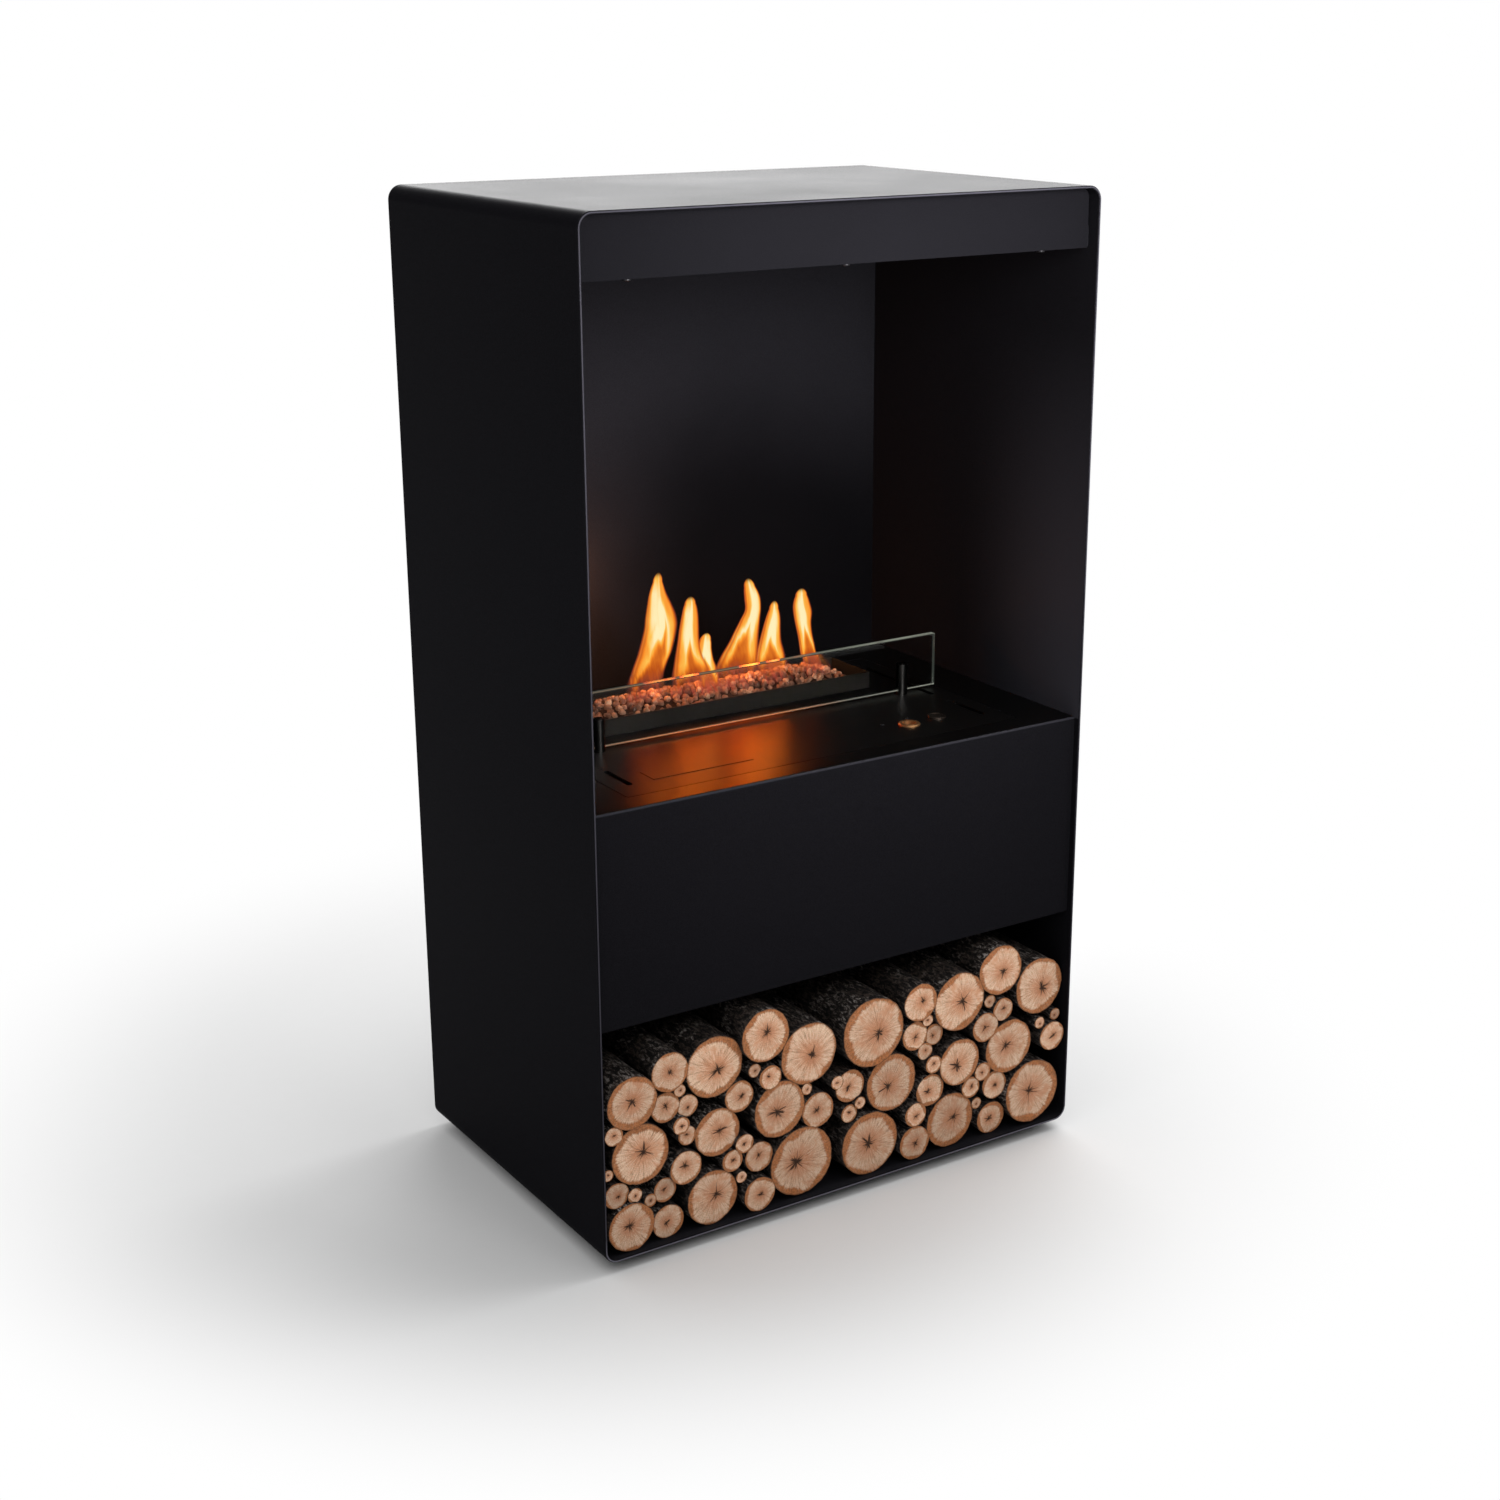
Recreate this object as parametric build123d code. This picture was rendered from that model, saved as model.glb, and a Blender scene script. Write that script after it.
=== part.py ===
from build123d import *
import math
import os

os.makedirs("parts", exist_ok=True)

# Bioethanol fireplace: a folded steel cabinet with a fire chamber, a fuel compartment behind a
# plain fascia and a log niche. Origin at the bottom centre on the floor, X to the right,
# front towards -Y, Z up, millimetres.

# ---- Cabinet ----
width = 600.0
depth = 400.0
height = 1050.0
foot_height = 12.0
sleeve_thickness = 3.0
sleeve_bend = 15.0
rim_bevel = 0.8

# ---- Fascia, deck and lintel: distances behind the front rim and heights above the floor ----
fascia_recess = 6.5
lintel_recess = 12.5
fascia_bottom = 262.7
deck_top = 489.5
lintel_drop = 62.6
back_wall_recess = 14.0
sheet = 2.0
thin_sheet = 1.5
angle_fold = 0.6
deck_fold = 1.0
shelf_side_gap = 0.5
flange = 20.0
sheet_gap = 0.3

# ---- Back panel ----
panel_side_gap = 1.0
rear_screw_inset = 50.0
vent_length = 40.0
vent_width = 5.0
vent_columns = 9
vent_margin = 39.0
vent_above_niche = 55.3
vent_below_deck = 71.5
cable_x = -130.0
cable_z = 362.0
grommet_hole = 8.0
grommet_bore = 4.5
grommet_lip = 3.0
grommet_lip_thickness = 2.0

# ---- Lintel and chamber ceiling ----
lintel_side_gap = 3.0
lintel_corner = 10.0
lintel_return_top = 15.0
lintel_return_bottom = 18.0
ceiling_screw_inset = 60.0

# ---- Support frame: margins to the walls, then its step, its ledge, and the tub within ----
frame_side_margin = 39.5
frame_front_margin = 13.5
frame_rear_margin = 38.0
frame_rim = 13.0
frame_ledge = 10.0
tub_play = 2.0
tub_rim_play = 4.0
lid_play = 3.0
lid_seam = 1.0
lid_thickness = 3.0
lid_corner = 3.0
tub_corner = 3.0
tub_above_niche = 28.8
angle_leg = 25.0
angle_front_gap = 15.0
angle_rear_gap = 6.0

# ---- Lid details, from the ends, the front edge and the rear edge of the lid ----
slot_inset = 21.5
slot_width = 6.5
front_slot_start = 31.0
front_slot_length = 52.0
rear_slot_start = 122.0
rear_slot_end_inset = 35.0
front_screw_inset = 91.0
rear_screw_edge_inset = 22.0
label_length = 118.0
label_width = 27.0
label_thickness = 0.5
label_from_left = 107.5
label_from_front = 46.5

# ---- Fire tray and burner line ----
tray_side_margin = 64.5
tray_rear_inset = 30.0
tray_width = 75.0
tray_height = 18.5
tray_sheet = 1.5
trough_end_margin = 12.5
trough_width = 30.0
trough_depth = 37.5
trough_opening_gap = 1.5
flame_slot_end_margin = 4.5
flame_slot_width = 21.0
wick_end_gap = 2.0
wick_width = 23.0
wick_height = 16.0
igniter_from_end = 20.0
igniter_radius = 2.5
igniter_collar = 6.0
sensor_from_end = 20.0
sensor_radius = 1.5
sensor_collar = 4.0
rod_above_tray_floor = 11.0
rod_below_trough = 16.0
collar_height = 8.0
pebble_left_gap = 3.0
pebble_right_gap = 22.0
pebble_shoulder = 12.0
pebble_crest = 29.0
pebble_gap = 0.5

# ---- Glass screen and its posts ----
glass_end_margin = 4.5
glass_thickness = 8.0
glass_lift = 4.0
glass_height = 59.5
glass_bevel = 0.6
post_from_glass_end = 44.0
post_diameter = 15.0
post_height = 35.5
post_bevel = 0.8
slot_play = 0.3
pad_thickness = 0.5
pad_length = 10.0

# ---- Filling inlet and its valve ----
inlet_from_right = 111.5
inlet_from_front = 44.0
inlet_flange = 24.0
inlet_flange_height = 2.0
inlet_mouth = 15.0
inlet_chamber = 18.0
inlet_hub = 20.0
inlet_mouth_depth = 7.5
inlet_hub_depth = 24.0
valve_disc = 17.0
valve_disc_height = 3.0
stem_diameter = 5.0
stem_play = 0.05
stem_below_guide = 3.5
guide_height = 1.5
guide_boss_height = 6.5
guide_port_circle = 6.6
guide_port = 1.5
guide_ports = 4

# ---- Start button and lenses ----
button_from_right = 70.5
button_from_front = 50.0
bezel_diameter = 21.0
bezel_height = 2.0
bezel_hub_diameter = 19.0
bezel_hub_depth = 16.0
button_cap_diameter = 16.0
button_cap_drop = 0.5
button_cap_height = 8.0
button_play = 0.3
button_travel = 1.5
lens_diameter = 4.0
lens_height = 0.5
status_lens_from_right = 136.5
status_lens_from_front = 58.0
level_lens_from_right = 100.9
level_lens_from_front = 63.0
fit_gap = 0.1

# ---- Fuel and control parts in the tub ----
tank_left_gap = 17.5
tank_beyond_inlet = 35.0
tank_front_gap = 8.0
tank_before_tray = 10.0
tank_below_deck = 59.0
tank_wall = 1.5
tank_round = 6.0
fill_pipe_diameter = 20.0
fill_pipe_wall = 1.5
box_left_gap = 32.5
box_right = 20.0
box_behind_tank = 15.0
box_rear_gap = 7.5
box_below_rods = 3.5
box_round = 3.0
pump_from_box = 25.0
pump_length = 60.0
pump_diameter = 34.0
pump_base_height = 6.0
line_diameter = 8.0
socket_flange_length = 30.0
socket_flange_height = 24.0
socket_flange_thickness = 1.5
socket_length = 22.0
socket_height = 18.0
socket_recess_length = 17.0
socket_recess_height = 11.0
socket_recess_depth = 8.0

# ---- Feet ----
foot_diameter = 40.0
foot_inset = 60.0
foot_recess_diameter = 14.0
foot_recess = 6.0

# ---- Firewood: each log as distance from the left edge of the cabinet, height above its
# underside, and diameter. The first list is stacked twice, one pitch apart. ----
log_recess = 7.0
log_rear_gap = 53.0
log_gap = 0.15
log_pitch = 311.5
paired_logs = (
    (79, 24, 43), (132, 34, 68), (188, 21, 45), (245, 44, 84), (169, 49, 14), (191, 63, 36),
    (79, 59, 27), (158, 71, 26), (102, 81, 37), (173, 88, 20), (50, 110, 69), (139, 106, 54),
    (209, 114, 66), (265, 105, 42), (99, 113, 20), (281, 128, 20), (250, 126, 13),
    (92, 131, 19), (169, 142, 40), (252, 168, 68), (77, 151, 35), (107, 148, 24),
    (200, 157, 25), (137, 181, 70), (179, 168, 14), (97, 168, 14), (82, 191, 43),
    (195, 203, 57), (11, 95, 13),
)
single_logs = (
    (331, 39, 75), (34, 30, 55), (60, 55, 15), (20, 69, 27), (41, 68, 16), (304, 84, 19),
    (304, 118, 38), (15, 139, 19), (37, 170, 56), (331, 175, 81),
)
# Least diameter of each group of logs, the sides of their bark, and the rounds of settling.
thick_log = 60.0
middle_log = 32.0
thin_log = 18.0
thick_log_sides = 24
middle_log_sides = 18
thin_log_sides = 14
stick_sides = 10
settle_rounds = 12
settle_touch = 0.2

# ---- Screws: sides, shank radius, head radius, head height, hole play ----
shank_sides = 8
head_sides = 12
screw = 2.0
screw_head = 4.5
screw_head_height = 2.5
screw_tail = 6.0
foot_screw = 2.5
foot_screw_head = 5.0
foot_screw_head_height = 3.0
lid_screw = 2.0
lid_screw_head = 4.0
lid_screw_head_height = 1.5
lid_screw_length = 10.0
bracket_width = 16.0
bracket_leg = 19.0
hole_play = 0.05

# ---- Planes and faces of the cabinet ----
front = -depth / 2
back_wall_y = depth / 2 - back_wall_recess
inner_x = width / 2 - sleeve_thickness
floor_in = foot_height + sleeve_thickness
roof_in = height - sleeve_thickness
fascia_front = front + fascia_recess
lintel_front = front + lintel_recess
lintel_bottom = height - lintel_drop
deck_under = deck_top - sheet
lid_under = deck_top - lid_thickness
rim_under = lid_under - thin_sheet
niche_roof = fascia_bottom + sheet
shelf_x = inner_x - shelf_side_gap
rear_screw_x = (-width / 2 + rear_screw_inset, 0.0, width / 2 - rear_screw_inset)
ceiling_screw_x = (-width / 2 + ceiling_screw_inset, 0.0, width / 2 - ceiling_screw_inset)

# ---- Burner insert, from the walls inwards ----
frame_front = fascia_front + sheet + frame_front_margin
frame_rear = back_wall_y - sheet - frame_rear_margin
burner_y = (frame_front + frame_rear) / 2
frame_length = 2 * (inner_x - frame_side_margin)
frame_width = frame_rear - frame_front
step_length = frame_length - 2 * frame_rim
step_width = frame_width - 2 * frame_rim
ledge_length = step_length - 2 * frame_ledge
ledge_width = step_width - 2 * frame_ledge
tub_length = ledge_length - 2 * tub_play
tub_width = ledge_width - 2 * tub_play
tub_rim_length = step_length - 2 * tub_rim_play
tub_rim_width = step_width - 2 * tub_rim_play
lid_length = step_length - 2 * lid_play
lid_width = step_width - 2 * lid_play
tub_bottom = niche_roof + thin_sheet + tub_above_niche
tub_floor = tub_bottom + thin_sheet
tub_front = burner_y - tub_width / 2
tub_rear = burner_y + tub_width / 2

# ---- Places on the lid ----
lid_front = burner_y - lid_width / 2
lid_rear = burner_y + lid_width / 2
lid_right = lid_length / 2
slot_x = lid_right - slot_inset
front_slot = (lid_front + front_slot_start, lid_front + front_slot_start + front_slot_length)
rear_slot = (lid_front + rear_slot_start, lid_rear - rear_slot_end_inset)
lid_screw_y = (lid_front + front_screw_inset, lid_rear - rear_screw_edge_inset)
label_centre = (-lid_right + label_from_left, lid_front + label_from_front)
inlet_x = lid_right - inlet_from_right
inlet_y = lid_front + inlet_from_front
button_x = lid_right - button_from_right
button_y = lid_front + button_from_front
lens_places = {
    "status_lens": (lid_right - status_lens_from_right, lid_front + status_lens_from_front),
    "level_lens": (lid_right - level_lens_from_right, lid_front + level_lens_from_front),
}
tray_length = lid_length - 2 * tray_side_margin
tray_rear = lid_rear - tray_rear_inset
tray_front = tray_rear - tray_width
tray_x = tray_length / 2
trough_length = tray_length - 2 * trough_end_margin
flame_slot_length = trough_length - 2 * flame_slot_end_margin
wick_length = flame_slot_length - 2 * wick_end_gap
igniter_x = flame_slot_length / 2 - igniter_from_end
sensor_x = -flame_slot_length / 2 + sensor_from_end
pebble_left = -tray_x + pebble_left_gap
pebble_right = tray_x - pebble_right_gap
glass_length = lid_length - 2 * glass_end_margin
glass_bottom = deck_top + glass_lift
glass_top = glass_bottom + glass_height
post_x = glass_length / 2 - post_from_glass_end
post_top = deck_top + post_height

# ---- Places in the tub ----
rod_bottom = deck_top - trough_depth - rod_below_trough
tank_x = (-tub_length / 2 + tank_left_gap, inlet_x + tank_beyond_inlet)
tank_y = (tub_front + tank_front_gap, tray_front - tank_before_tray)
tank_top = deck_top - tank_below_deck
box_x = (-tub_length / 2 + box_left_gap, box_right)
box_y = (tank_y[1] + box_behind_tank, tub_rear - thin_sheet - box_rear_gap)
box_top = rod_bottom - box_below_rods
pump_x = (box_right + pump_from_box, box_right + pump_from_box + pump_length)


def block(x, y, z):
    """Box between pairs of coordinates."""
    size = [b - a for a, b in (x, y, z)]
    return Pos(x[0] + size[0] / 2, y[0] + size[1] / 2, z[0] + size[2] / 2) * Box(*size)


def upright(x, y, low, high, radius):
    """Round bar along Z."""
    return Pos(x, y, (low + high) / 2) * Cylinder(radius, high - low)


def bar_along_y(x, z, near, far, radius):
    """Round bar along Y."""
    return Pos(x, (near + far) / 2, z) * Rot(90, 0, 0) * Cylinder(radius, far - near)


def sided_bar_along_y(x, z, near, far, radius, sides):
    """Many-sided bar along Y, its corners on the radius."""
    start = Plane(origin=(x, far, z), x_dir=(1, 0, 0), z_dir=(0, -1, 0))
    return extrude(start * RegularPolygon(radius, sides), far - near)


def sided_upright(x, y, low, high, radius, sides):
    """Many-sided bar along Z, its corners on the radius."""
    return Pos(x, y, low) * extrude(RegularPolygon(radius, sides), high - low)


def bar_along_x(y, z, left, right, radius):
    """Round bar along X."""
    return Pos((left + right) / 2, y, z) * Rot(0, 90, 0) * Cylinder(radius, right - left)


def plate(length, across, low, high, corner=0.0):
    """Flat plate centred on the burner, with round corners if asked."""
    outline = RectangleRounded(length, across, corner) if corner else Rectangle(length, across)
    return Pos(0, burner_y, low) * extrude(outline, high - low)


def folded(corners, thickness, bend):
    """Section of a sheet folded square along the corners, its thickness on the left hand."""
    steps = []
    for (u0, v0), (u1, v1) in zip(corners, corners[1:]):
        run = math.hypot(u1 - u0, v1 - v0)
        steps.append(((u1 - u0) / run, (v1 - v0) / run))
    far_side = []
    rounds = {}
    for n, (u, v) in enumerate(corners):
        before = steps[max(n - 1, 0)]
        after = steps[min(n, len(steps) - 1)]
        normals = {(-before[1], before[0]), (-after[1], after[0])}
        other = (u + thickness * sum(p for p, q in normals), v + thickness * sum(q for p, q in normals))
        far_side.append(other)
        if len(normals) == 2:
            left_turn = before[0] * after[1] - before[1] * after[0] > 0
            rounds[(u, v)] = bend + thickness if left_turn else bend
            rounds[other] = bend if left_turn else bend + thickness
    section = make_face(Polyline(*corners, *reversed(far_side), close=True))
    for (u, v), radius in rounds.items():
        section = fillet(section.vertices().sort_by_distance((u, v, 0))[0], radius)
    return section


def fold_along_x(corners, thickness, bend, left, right):
    """Folded sheet with its section in Y and Z."""
    side = Plane(origin=(left, 0, 0), x_dir=(0, 1, 0), z_dir=(1, 0, 0))
    return extrude(side * folded(corners, thickness, bend), right - left)


def save(node, *shapes):
    """Writes one node, made of one or more solids."""
    solids = [solid for shape in shapes for solid in shape.solids()]
    export_step(solids[0] if len(solids) == 1 else Compound(children=solids), "parts/" + node + ".step")


def rear_screw_holes(z, near, far, radius):
    """Three holes across the back at one height."""
    return [sided_bar_along_y(x, z, near, far, radius, shank_sides) for x in rear_screw_x]


# ---- Outer sleeve: one sheet folded round into a tube, open in front and behind ----
front_view = Plane(origin=(0, depth / 2, (foot_height + height) / 2), x_dir=(1, 0, 0), z_dir=(0, -1, 0))
sleeve_height = height - foot_height
sleeve_outline = RectangleRounded(width, sleeve_height, sleeve_bend)
sleeve_hollow = RectangleRounded(
    width - 2 * sleeve_thickness, sleeve_height - 2 * sleeve_thickness, sleeve_bend - sleeve_thickness
)
sleeve = extrude(front_view * (sleeve_outline - sleeve_hollow), depth)
rims = [edge for face in sleeve.faces().filter_by(Axis.Y) for edge in face.edges()]
sleeve = chamfer(rims, rim_bevel)
foot_places = [
    (side * (width / 2 - foot_inset), end * (depth / 2 - foot_inset)) for side in (-1, 1) for end in (-1, 1)
]
for x, y in foot_places:
    sleeve -= sided_upright(x, y, foot_height, floor_in, foot_screw + hole_play, shank_sides)
save("outer_sleeve", sleeve)

# ---- Feet and their screws ----
feet = []
foot_screws = []
for x, y in foot_places:
    pad = Pos(x, y, 0) * extrude(Circle(foot_diameter / 2), foot_height)
    pad -= upright(x, y, 0, foot_recess, foot_recess_diameter / 2)
    pad -= sided_upright(x, y, foot_recess, foot_height, foot_screw + hole_play, shank_sides)
    feet.append(pad)
    head_z = foot_recess - foot_screw_head_height
    head = sided_upright(x, y, head_z, foot_recess, foot_screw_head, head_sides)
    foot_screws.append(head + sided_upright(x, y, foot_recess, floor_in, foot_screw, shank_sides))
save("rubber_feet", *feet)
save("foot_screws", *foot_screws)

# ---- Burner shelf: deck, front bend, fascia and bottom return from one sheet ----
deck_flange_screw_z = deck_top - flange / 2 - sheet
shelf = fold_along_x(
    [
        (fascia_front + flange, fascia_bottom),
        (fascia_front, fascia_bottom),
        (fascia_front, deck_top),
        (back_wall_y, deck_top),
        (back_wall_y, deck_top - flange - sheet),
    ][::-1],
    sheet,
    deck_fold,
    -shelf_x,
    shelf_x,
)
shelf -= plate(
    lid_length + 2 * lid_seam, lid_width + 2 * lid_seam, deck_under, deck_top, lid_corner + lid_seam
)
for hole in rear_screw_holes(deck_flange_screw_z, back_wall_y - sheet, back_wall_y, screw + hole_play):
    shelf -= hole
save("burner_shelf", shelf)

# ---- Support frame: joggled ring under the deck that carries the burner ----
frame = plate(frame_length, frame_width, deck_under - sheet, deck_under)
frame += plate(step_length + 2 * sheet, step_width + 2 * sheet, rim_under - sheet, deck_under)
frame -= plate(step_length, step_width, rim_under, deck_under)
frame -= plate(ledge_length, ledge_width, rim_under - sheet, deck_under)
save("support_frame", frame)

# ---- Angles on the side walls that carry the shelf ----
for node, side in (("shelf_angle_left", -1), ("shelf_angle_right", 1)):
    wall = block(
        sorted((side * inner_x, side * (inner_x - sheet))),
        (front + angle_front_gap, back_wall_y - angle_rear_gap),
        (deck_under - angle_leg, deck_under),
    )
    ledge = block(
        sorted((side * inner_x, side * (inner_x - angle_leg))),
        (front + angle_front_gap, back_wall_y - angle_rear_gap),
        (deck_under - sheet, deck_under),
    )
    save(node, wall + ledge)


def tray_sheet_part(low, front_edge, rear_edge, turned_front):
    """Plate on the floor of a storey, with flanges turned up at the rear, the sides and maybe the front."""
    outer = block((-shelf_x, shelf_x), (front_edge, rear_edge), (low, low + flange))
    inner_front = front_edge + thin_sheet if turned_front else front_edge
    hollow = block(
        (-shelf_x + thin_sheet, shelf_x - thin_sheet),
        (inner_front, rear_edge - thin_sheet),
        (low + thin_sheet, low + flange),
    )
    return outer - hollow


# ---- Niche ceiling, on the fascia's bottom return ----
niche_ceiling = tray_sheet_part(niche_roof, fascia_front + sheet + deck_fold + sheet_gap, back_wall_y, False)
niche_screw_z = niche_roof + flange / 2
for hole in rear_screw_holes(niche_screw_z, back_wall_y - thin_sheet, back_wall_y, screw + hole_play):
    niche_ceiling -= hole
save("niche_ceiling", niche_ceiling)

# ---- Lintel: web behind the rim, returns above and below ----
lintel_x = inner_x - lintel_side_gap
lintel_view = Plane(origin=(0, lintel_front + thin_sheet, 0), x_dir=(1, 0, 0), z_dir=(0, -1, 0))
web = Pos(0, (lintel_bottom + roof_in) / 2) * Rectangle(2 * lintel_x, roof_in - lintel_bottom)
web = fillet(web.vertices().group_by(Axis.Y)[-1], lintel_corner)
lintel = extrude(lintel_view * web, thin_sheet)
flat_x = lintel_x - lintel_corner
lintel += block(
    (-flat_x, flat_x), (lintel_front, lintel_front + lintel_return_top), (roof_in - thin_sheet, roof_in)
)
lintel += block(
    (-lintel_x, lintel_x),
    (lintel_front, lintel_front + lintel_return_bottom),
    (lintel_bottom, lintel_bottom + thin_sheet),
)
lintel_screw_y = lintel_front + lintel_return_bottom / 2
ceiling_low = lintel_bottom + thin_sheet
ceiling = tray_sheet_part(ceiling_low, lintel_front + thin_sheet + sheet_gap, back_wall_y, True)
ceiling_screw_z = ceiling_low + flange / 2
ceiling_screws = []
for x in ceiling_screw_x:
    hole_top = ceiling_low + thin_sheet
    hole = sided_upright(x, lintel_screw_y, lintel_bottom, hole_top, screw + hole_play, shank_sides)
    lintel -= hole
    ceiling -= hole
    head_z = lintel_bottom - screw_head_height
    head = sided_upright(x, lintel_screw_y, head_z, lintel_bottom, screw_head, head_sides)
    shank_top = ceiling_low + screw_tail
    shank = sided_upright(x, lintel_screw_y, lintel_bottom, shank_top, screw, shank_sides)
    ceiling_screws.append(head + shank)
for hole in rear_screw_holes(ceiling_screw_z, back_wall_y - thin_sheet, back_wall_y, screw + hole_play):
    ceiling -= hole
save("lintel_panel", lintel)
save("ceiling_plate", ceiling)
save("ceiling_screws", *ceiling_screws)

# ---- Rear bottom angle, screwed to the back panel ----
angle_screw_z = floor_in + flange / 2 + thin_sheet
rear_angle = fold_along_x(
    [(back_wall_y - flange, floor_in), (back_wall_y, floor_in), (back_wall_y, floor_in + flange)],
    sheet,
    angle_fold,
    -inner_x + sleeve_bend,
    inner_x - sleeve_bend,
)
for hole in rear_screw_holes(angle_screw_z, back_wall_y - sheet, back_wall_y, screw + hole_play):
    rear_angle -= hole
save("rear_bottom_angle", rear_angle)

# ---- Back panel: a flat sheet set into the rear of the sleeve, vented at the fuel compartment ----
panel_length = 2 * (inner_x - panel_side_gap)
panel_height = roof_in - floor_in - 2 * panel_side_gap
panel_corner = sleeve_bend - sleeve_thickness - panel_side_gap
web_rear = back_wall_y + thin_sheet
panel_view = Plane(
    origin=(0, web_rear, (floor_in + roof_in) / 2), x_dir=(1, 0, 0), z_dir=(0, -1, 0)
)
panel = extrude(panel_view * RectangleRounded(panel_length, panel_height, panel_corner), thin_sheet)
vent_pitch = (width - 2 * vent_margin) / vent_columns
for row_z in (fascia_bottom + vent_above_niche, deck_top - vent_below_deck):
    for column in range(vent_columns):
        vent_x = (column - (vent_columns - 1) / 2) * vent_pitch
        panel -= block(
            (vent_x - vent_length / 2, vent_x + vent_length / 2),
            (back_wall_y, web_rear),
            (row_z - vent_width / 2, row_z + vent_width / 2),
        )
back_screw_heights = (angle_screw_z, niche_screw_z, deck_flange_screw_z, ceiling_screw_z)
back_screws = []
for z in back_screw_heights:
    for x in rear_screw_x:
        panel -= sided_bar_along_y(x, z, back_wall_y, web_rear, screw + hole_play, shank_sides)
        shank = sided_bar_along_y(x, z, back_wall_y - screw_tail, web_rear, screw, shank_sides)
        head = sided_bar_along_y(x, z, web_rear, web_rear + screw_head_height, screw_head, head_sides)
        back_screws.append(shank + head)
panel -= bar_along_y(cable_x, cable_z, back_wall_y, web_rear, grommet_hole + hole_play)
save("back_panel", panel)
save("back_panel_screws", *back_screws)

grommet = bar_along_y(
    cable_x,
    cable_z,
    back_wall_y - grommet_lip_thickness,
    web_rear + grommet_lip_thickness,
    grommet_hole + grommet_lip,
)
groove = bar_along_y(cable_x, cable_z, back_wall_y, web_rear, grommet_hole + grommet_lip)
grommet -= groove - bar_along_y(cable_x, cable_z, back_wall_y, web_rear, grommet_hole)
grommet -= bar_along_y(cable_x, cable_z, back_wall_y - flange, back_wall_y + flange, grommet_bore)
save("cable_grommet", grommet)


# ---- Firewood, settled into the niche ----
def settle(stack):
    """Trims logs that would cut into each other, then draws each log against the nearest one held."""
    for n in range(settle_rounds):
        for log in stack:
            log[0] = min(max(log[0], -inner_x + log_gap + log[2]), inner_x - log_gap - log[2])
            log[1] = max(log[1], floor_in + log_gap + log[2])
        for i, log in enumerate(stack):
            for other in stack[:i]:
                overlap = log[2] + other[2] + log_gap - math.dist(log[:2], other[:2])
                if overlap > 0:
                    log[2] -= overlap / 2
                    other[2] -= overlap / 2
        held = []
        for log in sorted(stack, key=lambda log: log[1]):
            x, z, radius = log
            ways = [
                (z - radius - floor_in - log_gap, 0, -1),
                (x - radius + inner_x - log_gap, -1, 0),
                (inner_x - log_gap - x - radius, 1, 0),
            ]
            for other in held:
                apart = math.dist(log[:2], other[:2])
                gap = apart - radius - other[2] - log_gap
                ways.append((gap, (other[0] - x) / apart, (other[1] - z) / apart))
            gap, across, up = min(ways)
            if gap > settle_touch and n < settle_rounds - 1:
                log[0] += across * gap
                log[1] += up * gap
            held.append(log)


logs = [(left + offset, up, size) for offset in (0, log_pitch) for left, up, size in paired_logs]
stack = []
for left, up, diameter in (*logs, *single_logs):
    x = left - width / 2
    if x < inner_x:
        stack.append([x, up + foot_height, diameter / 2])
sizes = [log[2] * 2 for log in stack]
settle(stack)
upper_size = math.inf
log_groups = (
    ("logs_thick", thick_log, thick_log_sides),
    ("logs_middle", middle_log, middle_log_sides),
    ("logs_thin", thin_log, thin_log_sides),
    ("sticks", 0.0, stick_sides),
)
log_front = front + log_recess
log_length = depth - log_recess - log_rear_gap
for node, least_size, sides in log_groups:
    chosen = [log for log, size in zip(stack, sizes) if least_size <= size < upper_size]
    upper_size = least_size
    save(node, *[sided_bar_along_y(x, z, log_front, log_front + log_length, r, sides) for x, z, r in chosen])

# ---- Burner tub, with a rim that rests on the support frame ----
tub = plate(tub_length, tub_width, tub_bottom, lid_under, tub_corner)
tub += plate(tub_rim_length, tub_rim_width, rim_under, lid_under, lid_corner)
tub -= plate(
    tub_length - 2 * thin_sheet, tub_width - 2 * thin_sheet, tub_floor, lid_under, tub_corner - thin_sheet
)
socket_hole = (
    (cable_x - socket_length / 2 - hole_play, cable_x + socket_length / 2 + hole_play),
    (tub_rear - thin_sheet, tub_rear),
    (cable_z - socket_height / 2 - hole_play, cable_z + socket_height / 2 + hole_play),
)
tub -= block(*socket_hole)
save("burner_tub", tub)

# ---- Power socket in the rear wall of the tub, against the control box ----
socket = block(
    (cable_x - socket_flange_length / 2, cable_x + socket_flange_length / 2),
    (tub_rear, tub_rear + socket_flange_thickness),
    (cable_z - socket_flange_height / 2, cable_z + socket_flange_height / 2),
)
socket += block(
    (cable_x - socket_length / 2, cable_x + socket_length / 2),
    (box_y[1], tub_rear),
    (cable_z - socket_height / 2, cable_z + socket_height / 2),
)
socket -= block(
    (cable_x - socket_recess_length / 2, cable_x + socket_recess_length / 2),
    (tub_rear + socket_flange_thickness - socket_recess_depth, tub_rear + socket_flange_thickness),
    (cable_z - socket_recess_height / 2, cable_z + socket_recess_height / 2),
)
save("power_socket", socket)

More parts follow.
